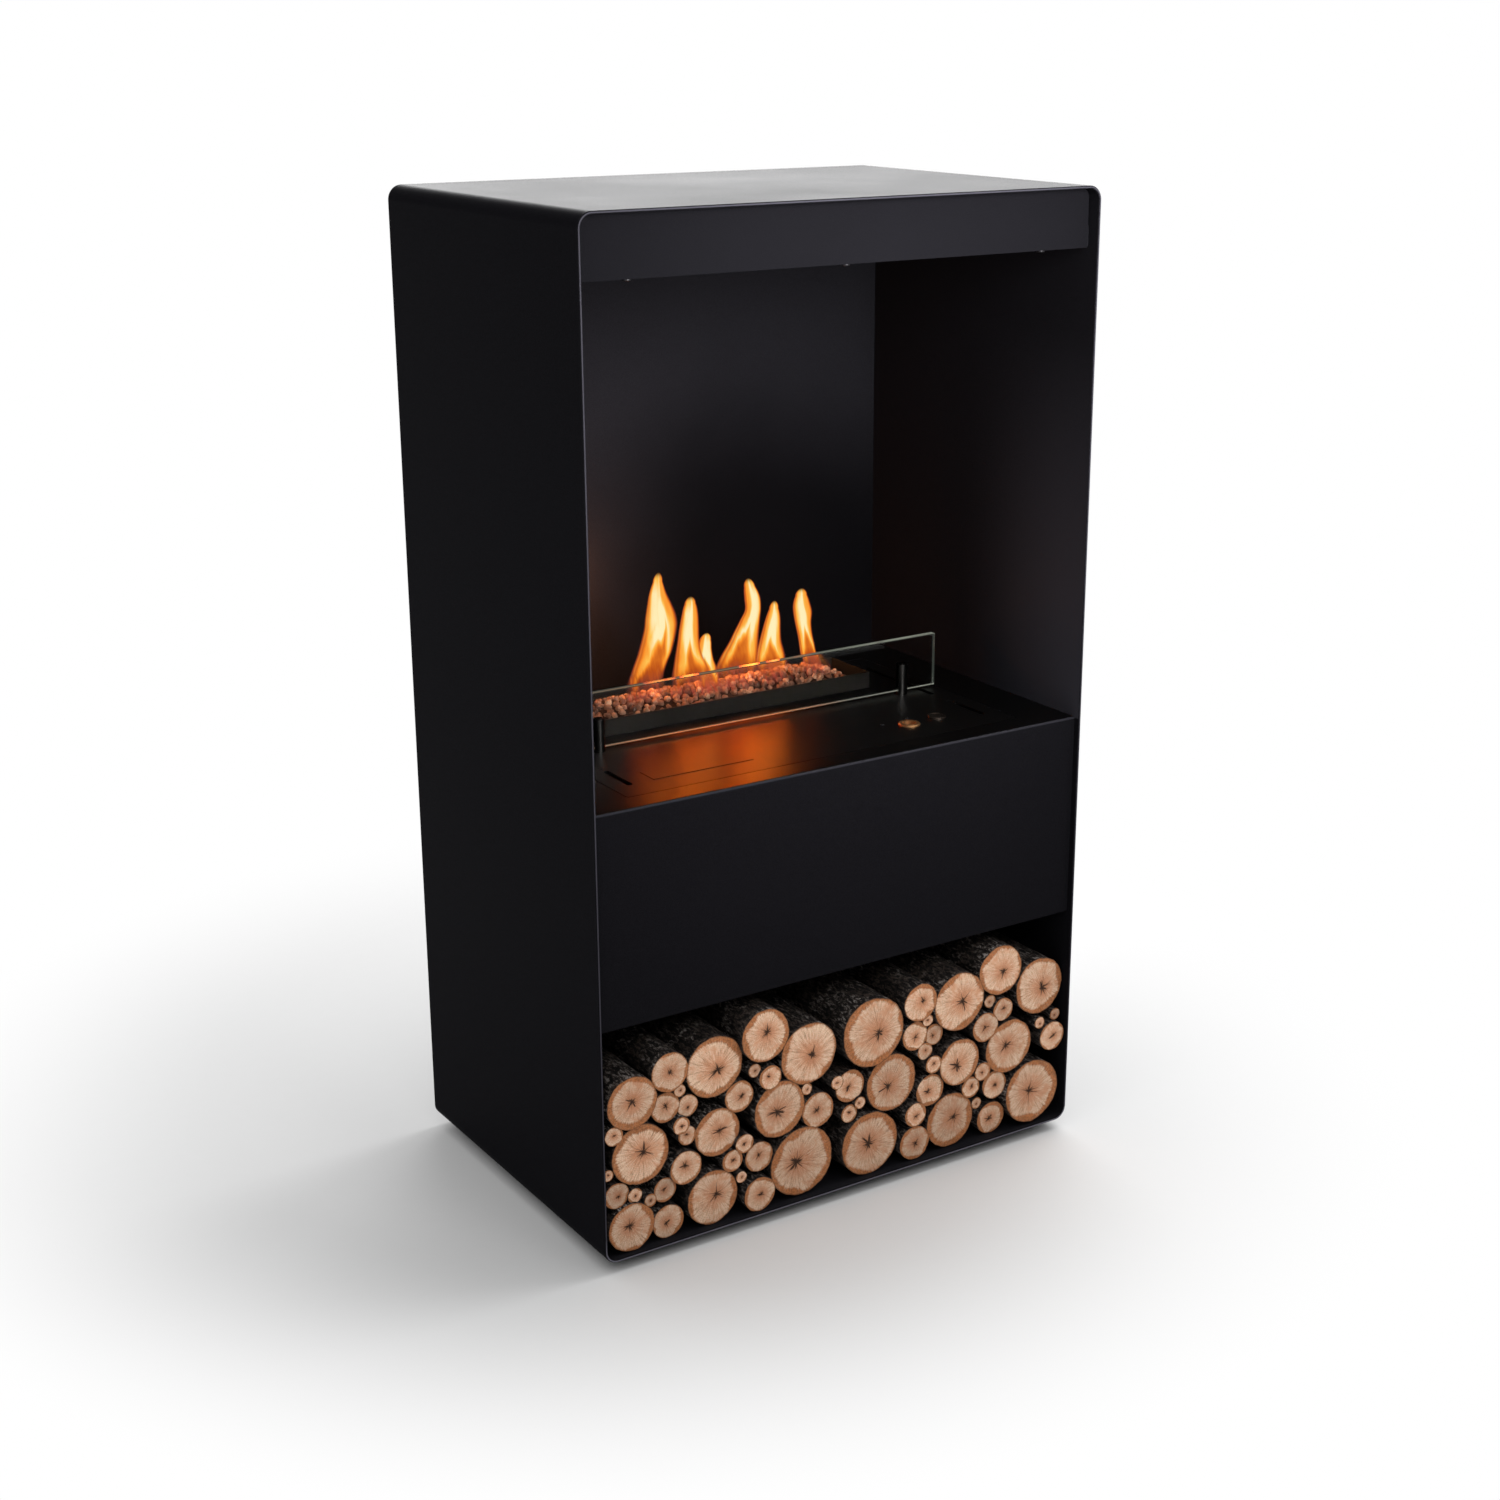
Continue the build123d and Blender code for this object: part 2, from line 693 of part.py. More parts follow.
# ---- Lid ----
lid = plate(lid_length, lid_width, lid_under, deck_top, lid_corner)
for side in (-1, 1):
    for near, far in (front_slot, rear_slot):
        slot = SlotOverall(far - near, slot_width, rotation=90)
        lid -= Pos(side * slot_x, (near + far) / 2, lid_under) * extrude(slot, lid_thickness)
tray_y = (tray_front + tray_rear) / 2
trough_hole_x = trough_length / 2 + trough_opening_gap
trough_hole_y = trough_width / 2 + trough_opening_gap
lid -= block(
    (-trough_hole_x, trough_hole_x), (tray_y - trough_hole_y, tray_y + trough_hole_y), (lid_under, deck_top)
)
lid -= upright(inlet_x, inlet_y, lid_under, deck_top, inlet_hub / 2 + fit_gap)
lid -= upright(button_x, button_y, lid_under, deck_top, bezel_hub_diameter / 2 + fit_gap)
for x, y in lens_places.values():
    lid -= upright(x, y, lid_under, deck_top, lens_diameter / 2 + fit_gap)
post_screw_head_z = lid_under - foot_screw_head_height
for side in (-1, 1):
    lid -= sided_upright(side * post_x, burner_y, lid_under, deck_top, foot_screw + hole_play, shank_sides)

# Lid screws, their heads sunk flush, into brackets on the end walls of the tub
bracket_wall = tub_length / 2 - thin_sheet
brackets = []
lid_screws = []
for side in (-1, 1):
    for y in lid_screw_y:
        x = side * slot_x
        head_z = deck_top - lid_screw_head_height
        head = sided_upright(x, y, head_z, deck_top, lid_screw_head, head_sides)
        lid -= sided_upright(x, y, head_z, deck_top, lid_screw_head + hole_play, head_sides)
        lid -= sided_upright(x, y, lid_under, head_z, lid_screw + hole_play, shank_sides)
        shank = sided_upright(x, y, deck_top - lid_screw_length, head_z, lid_screw, shank_sides)
        lid_screws.append(head + shank)
        width_y = (y - bracket_width / 2, y + bracket_width / 2)
        upright_leg = block(
            sorted((side * bracket_wall, side * (bracket_wall - thin_sheet))),
            width_y,
            (lid_under - bracket_leg, lid_under),
        )
        top_leg = block(
            sorted((side * bracket_wall, side * (bracket_wall - bracket_leg))),
            width_y,
            (lid_under - thin_sheet, lid_under),
        )
        bracket = upright_leg + top_leg
        hole = sided_upright(x, y, lid_under - thin_sheet, lid_under, lid_screw + hole_play, shank_sides)
        brackets.append(bracket - hole)
save("burner_lid", lid)
save("lid_brackets", *brackets)
save("lid_screws", *lid_screws)

label = Pos(*label_centre, deck_top) * extrude(Rectangle(label_length, label_width), label_thickness)
save("label_plate", label)

# ---- Fire tray, with a slot over the burner line ----
tray = block((-tray_x, tray_x), (tray_front, tray_rear), (deck_top, deck_top + tray_height))
tray -= block(
    (-tray_x + tray_sheet, tray_x - tray_sheet),
    (tray_front + tray_sheet, tray_rear - tray_sheet),
    (deck_top + tray_sheet, deck_top + tray_height),
)
tray_floor = deck_top + tray_sheet
tray -= block(
    (-flame_slot_length / 2, flame_slot_length / 2),
    (tray_y - flame_slot_width / 2, tray_y + flame_slot_width / 2),
    (deck_top, tray_floor),
)
save("fire_tray", tray)

# ---- Combustion trough under the slot, with its wick ----
trough_floor = deck_top - trough_depth + tray_sheet
trough = block(
    (-trough_length / 2, trough_length / 2),
    (tray_y - trough_width / 2, tray_y + trough_width / 2),
    (deck_top - trough_depth, deck_top),
)
trough -= block(
    (-trough_length / 2 + tray_sheet, trough_length / 2 - tray_sheet),
    (tray_y - trough_width / 2 + tray_sheet, tray_y + trough_width / 2 - tray_sheet),
    (trough_floor, deck_top),
)
wick = block(
    (-wick_length / 2, wick_length / 2),
    (tray_y - wick_width / 2, tray_y + wick_width / 2),
    (trough_floor, trough_floor + wick_height),
)
pebble_top = tray_floor + pebble_crest
pebble_side = (tray_rear - tray_front) / 2 - tray_sheet - pebble_gap
heap_section = Polyline(
    (tray_y - pebble_side, tray_floor),
    (tray_y - pebble_side, tray_floor + pebble_shoulder),
    (tray_y - pebble_side / 2, pebble_top - pebble_shoulder / 4),
    (tray_y, pebble_top),
    (tray_y + pebble_side / 2, pebble_top - pebble_shoulder / 4),
    (tray_y + pebble_side, tray_floor + pebble_shoulder),
    (tray_y + pebble_side, tray_floor),
    close=True,
)
heap_plane = Plane(origin=(pebble_left, 0, 0), x_dir=(0, 1, 0), z_dir=(1, 0, 0))
heap = extrude(heap_plane * make_face(heap_section), pebble_right - pebble_left)
for end_face in (heap.faces().sort_by(Axis.X)[0], heap.faces().sort_by(Axis.X)[-1]):
    slopes = [edge for edge in end_face.edges() if edge.center().Z > tray_floor + pebble_shoulder]
    heap = chamfer(slopes, pebble_shoulder / 2)

# Igniter and flame sensor: thin rods standing in the trough, their tips in the pebbles
rods = {
    "igniter_rod": (igniter_x, igniter_radius, igniter_collar),
    "flame_sensor": (sensor_x, sensor_radius, sensor_collar),
}
rod_top = tray_floor + rod_above_tray_floor
for node, (x, radius, collar) in rods.items():
    rod = upright(x, tray_y, rod_bottom, rod_top, radius)
    rod += upright(x, tray_y, deck_top - trough_depth - collar_height, deck_top - trough_depth, collar)
    save(node, rod)
    trough -= upright(x, tray_y, deck_top - trough_depth, trough_floor, radius + hole_play)
    wick -= upright(x, tray_y, trough_floor, trough_floor + wick_height, radius + fit_gap)
    heap -= upright(x, tray_y, tray_floor, rod_top + fit_gap, radius + fit_gap)
save("combustion_trough", trough)
save("wick_strip", wick)
save("pebble_bed", heap)

# ---- Slotted posts and the glass they hold ----
slot_floor = glass_bottom - pad_thickness
slot_half = glass_thickness / 2 + slot_play
posts = []
pads = []
post_screws = []
for side in (-1, 1):
    x = side * post_x
    post = upright(x, burner_y, deck_top, post_top, post_diameter / 2)
    post = chamfer(post.edges().group_by(Axis.Z)[-1], post_bevel)
    post -= block(
        (x - post_diameter, x + post_diameter),
        (burner_y - slot_half, burner_y + slot_half),
        (slot_floor, post_top),
    )
    post -= sided_upright(x, burner_y, deck_top, slot_floor, foot_screw + hole_play, shank_sides)
    posts.append(post)
    pad_y = (burner_y - glass_thickness / 2, burner_y + glass_thickness / 2)
    pads.append(block((x - pad_length / 2, x + pad_length / 2), pad_y, (slot_floor, glass_bottom)))
    head = sided_upright(x, burner_y, post_screw_head_z, lid_under, foot_screw_head, head_sides)
    shank_top = slot_floor - pad_thickness
    post_screws.append(head + sided_upright(x, burner_y, lid_under, shank_top, foot_screw, shank_sides))
save("glass_post_left", posts[0])
save("glass_post_right", posts[1])
save("glass_pads", *pads)
save("post_screws", *post_screws)

glass = block(
    (-glass_length / 2, glass_length / 2),
    (burner_y - glass_thickness / 2, burner_y + glass_thickness / 2),
    (glass_bottom, glass_top),
)
glass = chamfer(glass.faces().filter_by(Axis.Y).edges(), glass_bevel)
save("glass_screen", glass)

# ---- Filling inlet: ring, valve, guide and pipe to the tank ----
inlet_top = deck_top + inlet_flange_height
seat_z = inlet_top - inlet_mouth_depth
hub_bottom = deck_top - inlet_hub_depth
ring = upright(inlet_x, inlet_y, deck_top, inlet_top, inlet_flange / 2)
ring = chamfer(ring.edges().group_by(Axis.Z)[-1], inlet_flange_height / 2)
ring += upright(inlet_x, inlet_y, hub_bottom, deck_top, inlet_hub / 2)
ring -= upright(inlet_x, inlet_y, seat_z, inlet_top, inlet_mouth / 2)
ring -= upright(inlet_x, inlet_y, hub_bottom, seat_z, inlet_chamber / 2)
save("inlet_ring", ring)

guide_low = hub_bottom - guide_height
boss_low = guide_low - guide_boss_height
guide = upright(inlet_x, inlet_y, guide_low, hub_bottom, inlet_hub / 2)
guide += upright(inlet_x, inlet_y, boss_low, guide_low, stem_diameter / 2 + guide_height)
guide -= upright(inlet_x, inlet_y, boss_low, hub_bottom, stem_diameter / 2 + stem_play)
for n in range(guide_ports):
    turn = 2 * math.pi * n / guide_ports
    port_x = inlet_x + guide_port_circle * math.cos(turn)
    port_y = inlet_y + guide_port_circle * math.sin(turn)
    guide -= upright(port_x, port_y, guide_low, hub_bottom, guide_port)
save("valve_guide", guide)

poppet = upright(inlet_x, inlet_y, seat_z - valve_disc_height, seat_z, valve_disc / 2)
poppet += upright(
    inlet_x, inlet_y, boss_low - stem_below_guide, seat_z - valve_disc_height, stem_diameter / 2
)
save("valve_poppet", poppet)

pipe = upright(inlet_x, inlet_y, tank_top - tank_wall, guide_low, fill_pipe_diameter / 2)
pipe -= upright(inlet_x, inlet_y, tank_top - tank_wall, guide_low, fill_pipe_diameter / 2 - fill_pipe_wall)
save("fill_pipe", pipe)

tank = block(tank_x, tank_y, (tub_floor, tank_top))
tank = fillet(tank.edges().filter_by(Axis.Z), tank_round)
tank -= fillet(
    block(
        (tank_x[0] + tank_wall, tank_x[1] - tank_wall),
        (tank_y[0] + tank_wall, tank_y[1] - tank_wall),
        (tub_floor + tank_wall, tank_top - tank_wall),
    )
    .edges()
    .filter_by(Axis.Z),
    tank_round - tank_wall,
)
tank -= upright(inlet_x, inlet_y, tank_top - tank_wall, tank_top, fill_pipe_diameter / 2 + hole_play)
save("fuel_tank", tank)

# ---- Control box, pump and fuel line ----
control = block(box_x, box_y, (tub_floor, box_top))
save("control_box", fillet(control.edges().filter_by(Axis.Z), box_round))

pump_z = tub_floor + pump_diameter / 2
pump_y = tray_y
pump = bar_along_x(pump_y, pump_z, *pump_x, pump_diameter / 2)
pump_base_y = (pump_y - pump_diameter / 2, pump_y + pump_diameter / 2)
pump += block(pump_x, pump_base_y, (tub_floor, tub_floor + pump_base_height))
pump_mid = sum(pump_x) / 2
line = line_diameter / 2
riser = upright(pump_mid, pump_y, pump_z, deck_top - trough_depth, line)
feed = bar_along_y(pump_mid, pump_z, tank_y[1], pump_y, line)
save("fuel_pump", pump)
save("fuel_line", riser - pump, feed - pump)

# ---- Start button: bezel, sprung cap and switch body ----
bezel = upright(button_x, button_y, deck_top, deck_top + bezel_height, bezel_diameter / 2)
bezel = chamfer(bezel.edges().group_by(Axis.Z)[-1], bezel_height / 4)
bezel += upright(button_x, button_y, deck_top - bezel_hub_depth, deck_top, bezel_hub_diameter / 2)
cap_radius = button_cap_diameter / 2
bezel -= upright(
    button_x, button_y, deck_top - bezel_hub_depth, deck_top + bezel_height, cap_radius + button_play
)
save("button_bezel", bezel)

button_cap_top = deck_top + bezel_height - button_cap_drop
cap_bottom = button_cap_top - button_cap_height
cap = upright(button_x, button_y, cap_bottom, button_cap_top, cap_radius)
cap = chamfer(cap.edges().group_by(Axis.Z)[-1], bezel_height / 4)
switch_top = deck_top - bezel_hub_depth + bezel_height
cap += upright(button_x, button_y, switch_top + button_travel + fit_gap, cap_bottom, stem_diameter / 2)
save("button_cap", cap)

switch = upright(button_x, button_y, switch_top - bezel_height, switch_top, cap_radius)
switch += block(
    (button_x - cap_radius, button_x + cap_radius),
    (button_y - cap_radius, button_y + cap_radius),
    (switch_top - bezel_height - button_cap_diameter, switch_top - bezel_height),
)
save("button_switch", switch)

for node, (x, y) in lens_places.items():
    lens = upright(x, y, lid_under, deck_top + lens_height, lens_diameter / 2)
    save(node, chamfer(lens.edges().group_by(Axis.Z)[-1], lens_height / 2))
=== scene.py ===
import math
import random

import bmesh
import bpy
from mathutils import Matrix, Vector


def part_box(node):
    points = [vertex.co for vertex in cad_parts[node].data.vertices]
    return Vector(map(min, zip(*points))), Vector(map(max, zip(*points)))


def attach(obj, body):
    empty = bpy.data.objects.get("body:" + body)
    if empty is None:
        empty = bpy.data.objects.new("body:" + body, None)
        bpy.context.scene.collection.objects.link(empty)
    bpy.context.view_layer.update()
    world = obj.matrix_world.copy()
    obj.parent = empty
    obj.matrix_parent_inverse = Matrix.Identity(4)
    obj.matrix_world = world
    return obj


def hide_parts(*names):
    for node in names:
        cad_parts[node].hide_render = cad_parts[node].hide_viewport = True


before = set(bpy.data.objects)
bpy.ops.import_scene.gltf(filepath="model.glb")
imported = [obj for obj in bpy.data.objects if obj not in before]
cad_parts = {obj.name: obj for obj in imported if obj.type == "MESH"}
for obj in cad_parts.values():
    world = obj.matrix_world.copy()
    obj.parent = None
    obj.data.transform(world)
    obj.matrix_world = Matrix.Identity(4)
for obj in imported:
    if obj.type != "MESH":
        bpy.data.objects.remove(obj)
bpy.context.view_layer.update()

bl_info = {
    "name": "Bioethanol fireplace",
    "version": (1, 0, 0),
    "blender": (4, 5, 0),
    "location": "View3D > Sidebar > Fireplace",
    "description": "Finishes, firewood, pebbles, flames and stage of a bioethanol fireplace",
    "category": "Object",
}

# Lengths are metres, in the frame of the CAD part: X to the right, front towards -Y, Z up.
TRAY_LOW, TRAY_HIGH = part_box("fire_tray")
BED_LOW, BED_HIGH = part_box("pebble_bed")
SLEEVE_LOW, SLEEVE_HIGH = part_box("outer_sleeve")
SHEET = 0.003
# Just under the top of the burner shelf, where the fire chamber starts.
CHAMBER_FLOOR = 0.488
# How much lighter than the coat's peaks the painted light on the chamber's side walls and the painted
# highlight on the rim and the shelf's bend are.
WALL_LIGHT_GAIN, HIGHLIGHT_GAIN = 4.5, 14.0
FIRE_COLOUR = (1.0, 0.36, 0.11)
# How far a point that comes forward by 1 goes left and up, to stay in its place in the picture.
FORWARD_TO_LEFT, FORWARD_TO_UP = 0.66, 0.27
CAMERA_SHIFT = (-0.0271, 0.0004)
FLOOR_MIDDLE = (0.0, 0.22, 0.0)
WHITE = (1.0, 1.0, 1.0, 1.0)

# Flames over the burner line: height above the floor, middle in X and half width, from root to tip.
FLAMES = {
    "left_tall": [
        (0.503, -0.0945, 0.0270), (0.523, -0.0911, 0.0221), (0.536, -0.0877, 0.0200),
        (0.548, -0.0826, 0.0197), (0.560, -0.0768, 0.0201), (0.585, -0.0694, 0.0194),
        (0.598, -0.0693, 0.0179), (0.611, -0.0712, 0.0143), (0.624, -0.0735, 0.0101),
        (0.637, -0.0739, 0.0057), (0.648, -0.0733, 0.0004),
    ],
    "left_middle": [
        (0.503, -0.0345, 0.0262), (0.525, -0.0325, 0.0235), (0.537, -0.0332, 0.0201),
        (0.552, -0.0357, 0.0156), (0.567, -0.0363, 0.0130), (0.582, -0.0360, 0.0117),
        (0.597, -0.0350, 0.0097), (0.608, -0.0343, 0.0067), (0.616, -0.0333, 0.0006),
    ],
    "left_low": [
        (0.503, -0.0106, 0.0115), (0.531, -0.0111, 0.0109), (0.541, -0.0138, 0.0098),
        (0.553, -0.0158, 0.0087), (0.564, -0.0161, 0.0072), (0.573, -0.0147, 0.0006),
    ],
    "right_tall": [
        (0.503, 0.0227, 0.0252), (0.524, 0.0239, 0.0263), (0.533, 0.0272, 0.0252),
        (0.544, 0.0303, 0.0222), (0.557, 0.0349, 0.0180), (0.569, 0.0386, 0.0151),
        (0.580, 0.0424, 0.0124), (0.591, 0.0461, 0.0099), (0.604, 0.0454, 0.0096),
        (0.616, 0.0428, 0.0068), (0.626, 0.0414, 0.0006),
    ],
    "right_middle": [
        (0.503, 0.0696, 0.0160), (0.519, 0.0702, 0.0176), (0.528, 0.0702, 0.0187),
        (0.538, 0.0697, 0.0170), (0.550, 0.0689, 0.0140), (0.563, 0.0700, 0.0117),
        (0.576, 0.0722, 0.0095), (0.587, 0.0742, 0.0059), (0.596, 0.0759, 0.0006),
    ],
    "right_end": [
        (0.503, 0.1297, 0.0158), (0.516, 0.1251, 0.0124), (0.529, 0.1205, 0.0101),
        (0.540, 0.1184, 0.0095), (0.552, 0.1163, 0.0092), (0.564, 0.1148, 0.0100),
        (0.576, 0.1147, 0.0117), (0.586, 0.1133, 0.0108), (0.596, 0.1127, 0.0075),
        (0.605, 0.1126, 0.0006),
    ],
}
# Where the hot core of each flame lies across its width, from -1 at the left to 1 at the right.
CORE_SIDE = {
    "left_tall": -0.42, "left_middle": -0.25, "left_low": 0.30, "right_tall": 0.22, "right_middle": 0.15,
    "right_end": -0.15,
}
# Painted reflection: how strongly each flame, and a wisp, shines to mirror rays, to paint its glow in the
# dark gloss of the lid.
PAINTED_REFLECTION = {
    "left_tall": 3.6, "left_middle": 7.5, "left_low": 8.0, "right_tall": 11.0, "right_middle": 6.5,
    "right_end": 0.4,
}
WISP_PAINTED_REFLECTION = 0.2
# Dim tongues between the flames' roots, given in the same way as the flames.
WISPS = {
    "left": [(0.500, -0.0708, 0.0040), (0.520, -0.0710, 0.0034), (0.540, -0.0707, 0.0004)],
    "curl": [
        (0.503, 0.0092, 0.0130), (0.522, 0.0094, 0.0119), (0.532, 0.0092, 0.0083), (0.540, 0.0117, 0.0006),
    ],
    "right": [
        (0.503, 0.0752, 0.0260), (0.515, 0.0745, 0.0220), (0.527, 0.0740, 0.0150), (0.536, 0.0740, 0.0008),
    ],
    "end": [
        (0.503, 0.1330, 0.0160), (0.512, 0.1350, 0.0130), (0.522, 0.1320, 0.0080), (0.530, 0.1290, 0.0006),
    ],
}


def colour(name, description, default):
    return bpy.props.FloatVectorProperty(
        name=name, description=description, default=default, size=3, min=0.0, max=1.0, subtype="COLOR"
    )


def number(name, description, default, **limits):
    return bpy.props.FloatProperty(name=name, description=description, default=default, min=0.0, **limits)


def distance(name, description, default):
    return number(name, description, default, subtype="DISTANCE", unit="LENGTH")


def factor(name, description, default):
    return number(name, description, default, max=1.0, subtype="FACTOR")


def power(name, description, default):
    return number(name, description, default, subtype="POWER", unit="POWER")


def whole(name, description, default):
    return bpy.props.IntProperty(name=name, description=description, default=default, min=0)


class CabinetFinish(bpy.types.PropertyGroup):
    coat_dark: colour("Coat, dark", "Valleys of the black powder coat", (0.0053, 0.0051, 0.0062))
    coat_light: colour("Coat, light", "Peaks of the black powder coat", (0.0116, 0.0112, 0.0137))
    coat_roughness: factor("Coat roughness", "Roughness of the powder coat", 0.34)
    coat_gloss: factor("Coat gloss", "Specular level of the powder coat", 0.002)
    top_gloss: factor("Top gloss", "Specular level of the coat on faces that look up", 0.010)
    coat_grain: distance("Coat grain", "Size of a grain of the powder coat", 0.0007)
    # Painted light: the chamber's coat, which the heat-proof coat shares, is the powder coat made about half
    # as light again, so that the chamber's walls look lit.
    chamber_dark: colour("Chamber, dark", "Valleys of the coat in the chamber", (0.0081, 0.0079, 0.0096))
    chamber_light: colour("Chamber, light", "Peaks of the coat in the chamber", (0.0168, 0.0164, 0.0198))
    zinc: colour("Zinc", "Plated steel of the hidden sheet parts", (0.34, 0.345, 0.355))
    rubber: colour("Rubber", "Feet, pads and grommet", (0.013, 0.013, 0.014))


class BurnerFinish(bpy.types.PropertyGroup):
    paint_dark: colour("Paint, dark", "Valleys of the satin burner paint", (0.0010, 0.0009, 0.0009))
    paint_light: colour("Paint, light", "Peaks of the satin burner paint", (0.0032, 0.0029, 0.0028))
    paint_roughness: factor("Paint roughness", "Roughness of the burner paint", 0.37)
    paint_gloss: factor("Paint gloss", "Specular level of the burner paint", 0.28)
    tray_dark: colour("Tray, dark", "Valleys of the tray's matt coat", (0.0080, 0.0070, 0.0060))
    tray_light: colour("Tray, light", "Peaks of the tray's matt coat", (0.0190, 0.0170, 0.0145))
    post_steel: colour("Post steel", "Dark polished steel of the glass posts", (0.085, 0.082, 0.078))
    copper: colour("Copper", "Ring of the filling inlet", (0.72, 0.38, 0.165))
    stainless: colour("Stainless", "Trough, guide and fuel line", (0.52, 0.51, 0.50))
    ceramic: colour("Ceramic", "Wick and igniter rod", (0.72, 0.68, 0.60))
    plastic: colour("Plastic", "Housings of the electrical parts", (0.012, 0.012, 0.013))
    lens: colour("Lens", "Status and level lens", (0.012, 0.012, 0.013))


class GlassFinish(bpy.types.PropertyGroup):
    pane: colour("Pane", "Light that passes through the pane", (0.985, 0.995, 0.99))
    edge: colour("Edge", "Ground edges of the pane", (0.50, 0.66, 0.56))
    edge_light: colour("Edge light", "Light that leaves the ground edges", (0.034, 0.040, 0.034))
    top_light: colour("Top light", "Light that leaves the upper and lower edge", (0.060, 0.062, 0.052))
    fire_light: colour("Fire light", "Firelight that leaves the edges near the flames", (0.34, 0.135, 0.050))


class Firewood(bpy.types.PropertyGroup):
    pale_wood: colour("Pale wood", "Sawn wood near the bark", (0.86, 0.565, 0.38))
    heart_wood: colour("Heart wood", "Sawn wood round the pith", (0.70, 0.305, 0.155))
    ray_wood: colour("Rays", "Palest rays of the sawn wood", (0.98, 0.79, 0.60))
    dark_wood: colour("Dark grain", "Darkest grain of the sawn wood", (0.33, 0.155, 0.082))
    inner_bark: colour("Inner bark", "Orange-brown ring under the bark", (0.52, 0.178, 0.053))
    crack: colour("Crack", "Dark cracks at the pith", (0.030, 0.014, 0.008))
    bark_dark: colour("Bark, dark", "Furrows of the bark", (0.007, 0.006, 0.006))
    bark_light: colour("Bark, light", "Ridges of the bark", (0.34, 0.31, 0.29))
    ring_spacing: distance("Ring spacing", "Width of a year's ring", 0.0021)
    furrow_depth: distance("Furrow depth", "Depth of the bark's furrows", 0.0019)
    saw_marks: distance("Saw marks", "Unevenness of the sawn ends", 0.0012)
    out_of_round: factor("Out of round", "How far a log is from round", 0.055)
    squeeze: distance("Squeeze", "How far the bark of two logs is pressed together", 0.0014)
    seed: whole("Seed", "Choice of random shapes", 11)


class Pebbles(bpy.types.PropertyGroup):
    size: distance("Size", "Mean width of a pebble", 0.0090)
    spacing: distance("Spacing", "Least distance between pebbles", 0.0060)
    pale: colour("Pale", "Palest pebbles", (0.54, 0.31, 0.19))
    middle: colour("Middle", "Most pebbles", (0.215, 0.098, 0.056))
    dark: colour("Dark", "Darkest pebbles", (0.065, 0.030, 0.019))
    # Painted shade: near-black ground that fills the gaps between the pebbles.
    ash: colour("Ash", "Ground between the pebbles", (0.006, 0.0045, 0.004))
    seed: whole("Seed", "Choice of random places", 5)


class Flames(bpy.types.PropertyGroup):
    white: colour("White", "Hottest part of a flame", (1.0, 0.86, 0.48))
    yellow: colour("Yellow", "Hot part of a flame", (1.0, 0.54, 0.085))
    orange: colour("Orange", "Body of a flame", (0.96, 0.27, 0.022))
    amber: colour("Amber", "Dark wedge in a flame", (0.50, 0.085, 0.010))
    red: colour("Red", "Root and hem of a flame", (0.42, 0.075, 0.058))
    # Tint of the painted reflection of the flames.
    mirrored: colour("Mirrored", "Tint of the flames in dark gloss", (1.0, 0.36, 0.07))
    thickness: factor("Thickness", "Depth of a flame over its width", 0.20)
    lean: distance("Lean", "How far the roots lick forward over the pebbles", 0.022)
    glow: power("Glow", "Light that each flame throws on the burner", 0.15)


class Fasteners(bpy.types.PropertyGroup):
    steel: colour("Blackened steel", "Screw heads", (0.035, 0.034, 0.036))
    socket: factor("Socket", "Width of the hexagon over the head", 0.52)
    sides: whole("Sides", "Sides of a screw head", 24)


class Stage(bpy.types.PropertyGroup):
    camera_place: bpy.props.FloatVectorProperty(
        name="Camera place", description="Where the camera stands", size=3, unit="LENGTH",
        default=(-1.2781, -2.0138, 1.2121),
    )
    camera_turn: bpy.props.FloatVectorProperty(
        name="Camera turn", description="Euler angles of the camera", size=3, unit="ROTATION",
        default=(math.radians(72.31), 0.0, math.radians(-33.52)),
    )
    camera_lens: bpy.props.FloatProperty(
        name="Camera lens", description="Focal length in millimetres", default=55.27, unit="CAMERA"
    )
    floor: colour("Floor", "Plain pale floor", (0.755, 0.755, 0.755))
    floor_reach: distance("Floor reach", "Distance at which the floor fades to white", 0.92)
    key: power("Key", "Large soft lamp above", 38.0)
    front: power("Front", "Soft lamp before the fire chamber", 4.7)
    rim: power("Rim", "Low soft lamp behind, that the top reflects", 41.0)
    fill: number("Fill", "Strength of the soft light from above", 1.05)
    shade: factor("Shade", "Strength of the dark screens at the left and the front, in reflections", 0.15)


# ---- Node helpers ----
class Wire:
    """A node's output. Arithmetic on it adds Math nodes, or Vector Math nodes where it is a vector."""

    def __init__(self, socket):
        self.socket = socket
        self.tree = socket.id_data

    def __add__(self, other):
        return joint("ADD", self, other)

    def __radd__(self, other):
        return joint("ADD", other, self)

    def __sub__(self, other):
        return joint("SUBTRACT", self, other)

    def __rsub__(self, other):
        return joint("SUBTRACT", other, self)

    def __mul__(self, other):
        return joint("MULTIPLY", self, other)

    def __rmul__(self, other):
        return joint("MULTIPLY", other, self)

    def __truediv__(self, other):
        return joint("DIVIDE", self, other)

    def __gt__(self, other):
        return joint("GREATER_THAN", self, other)

    def __lt__(self, other):
        return joint("LESS_THAN", self, other)

    def __abs__(self):
        return calc("ABSOLUTE", self)


class Node:
    """A new node with its sockets fed and its settings made; an index or a name gives an output's wire."""

    def __init__(self, tree, kind, sockets=None, **settings):
        self.node = tree.nodes.new(kind)
        for name, value in settings.items():
            setattr(self.node, name, value)
        for key, value in (sockets or {}).items():
            feed(self.node.inputs[key], value)

    def __getitem__(self, key):
        return Wire(self.node.outputs[key])


def feed(socket, value):
    """Links the wire to the socket, or sets the value."""
    if isinstance(value, Wire):
        value.tree.links.new(value.socket, socket)
    else:
        socket.default_value = value


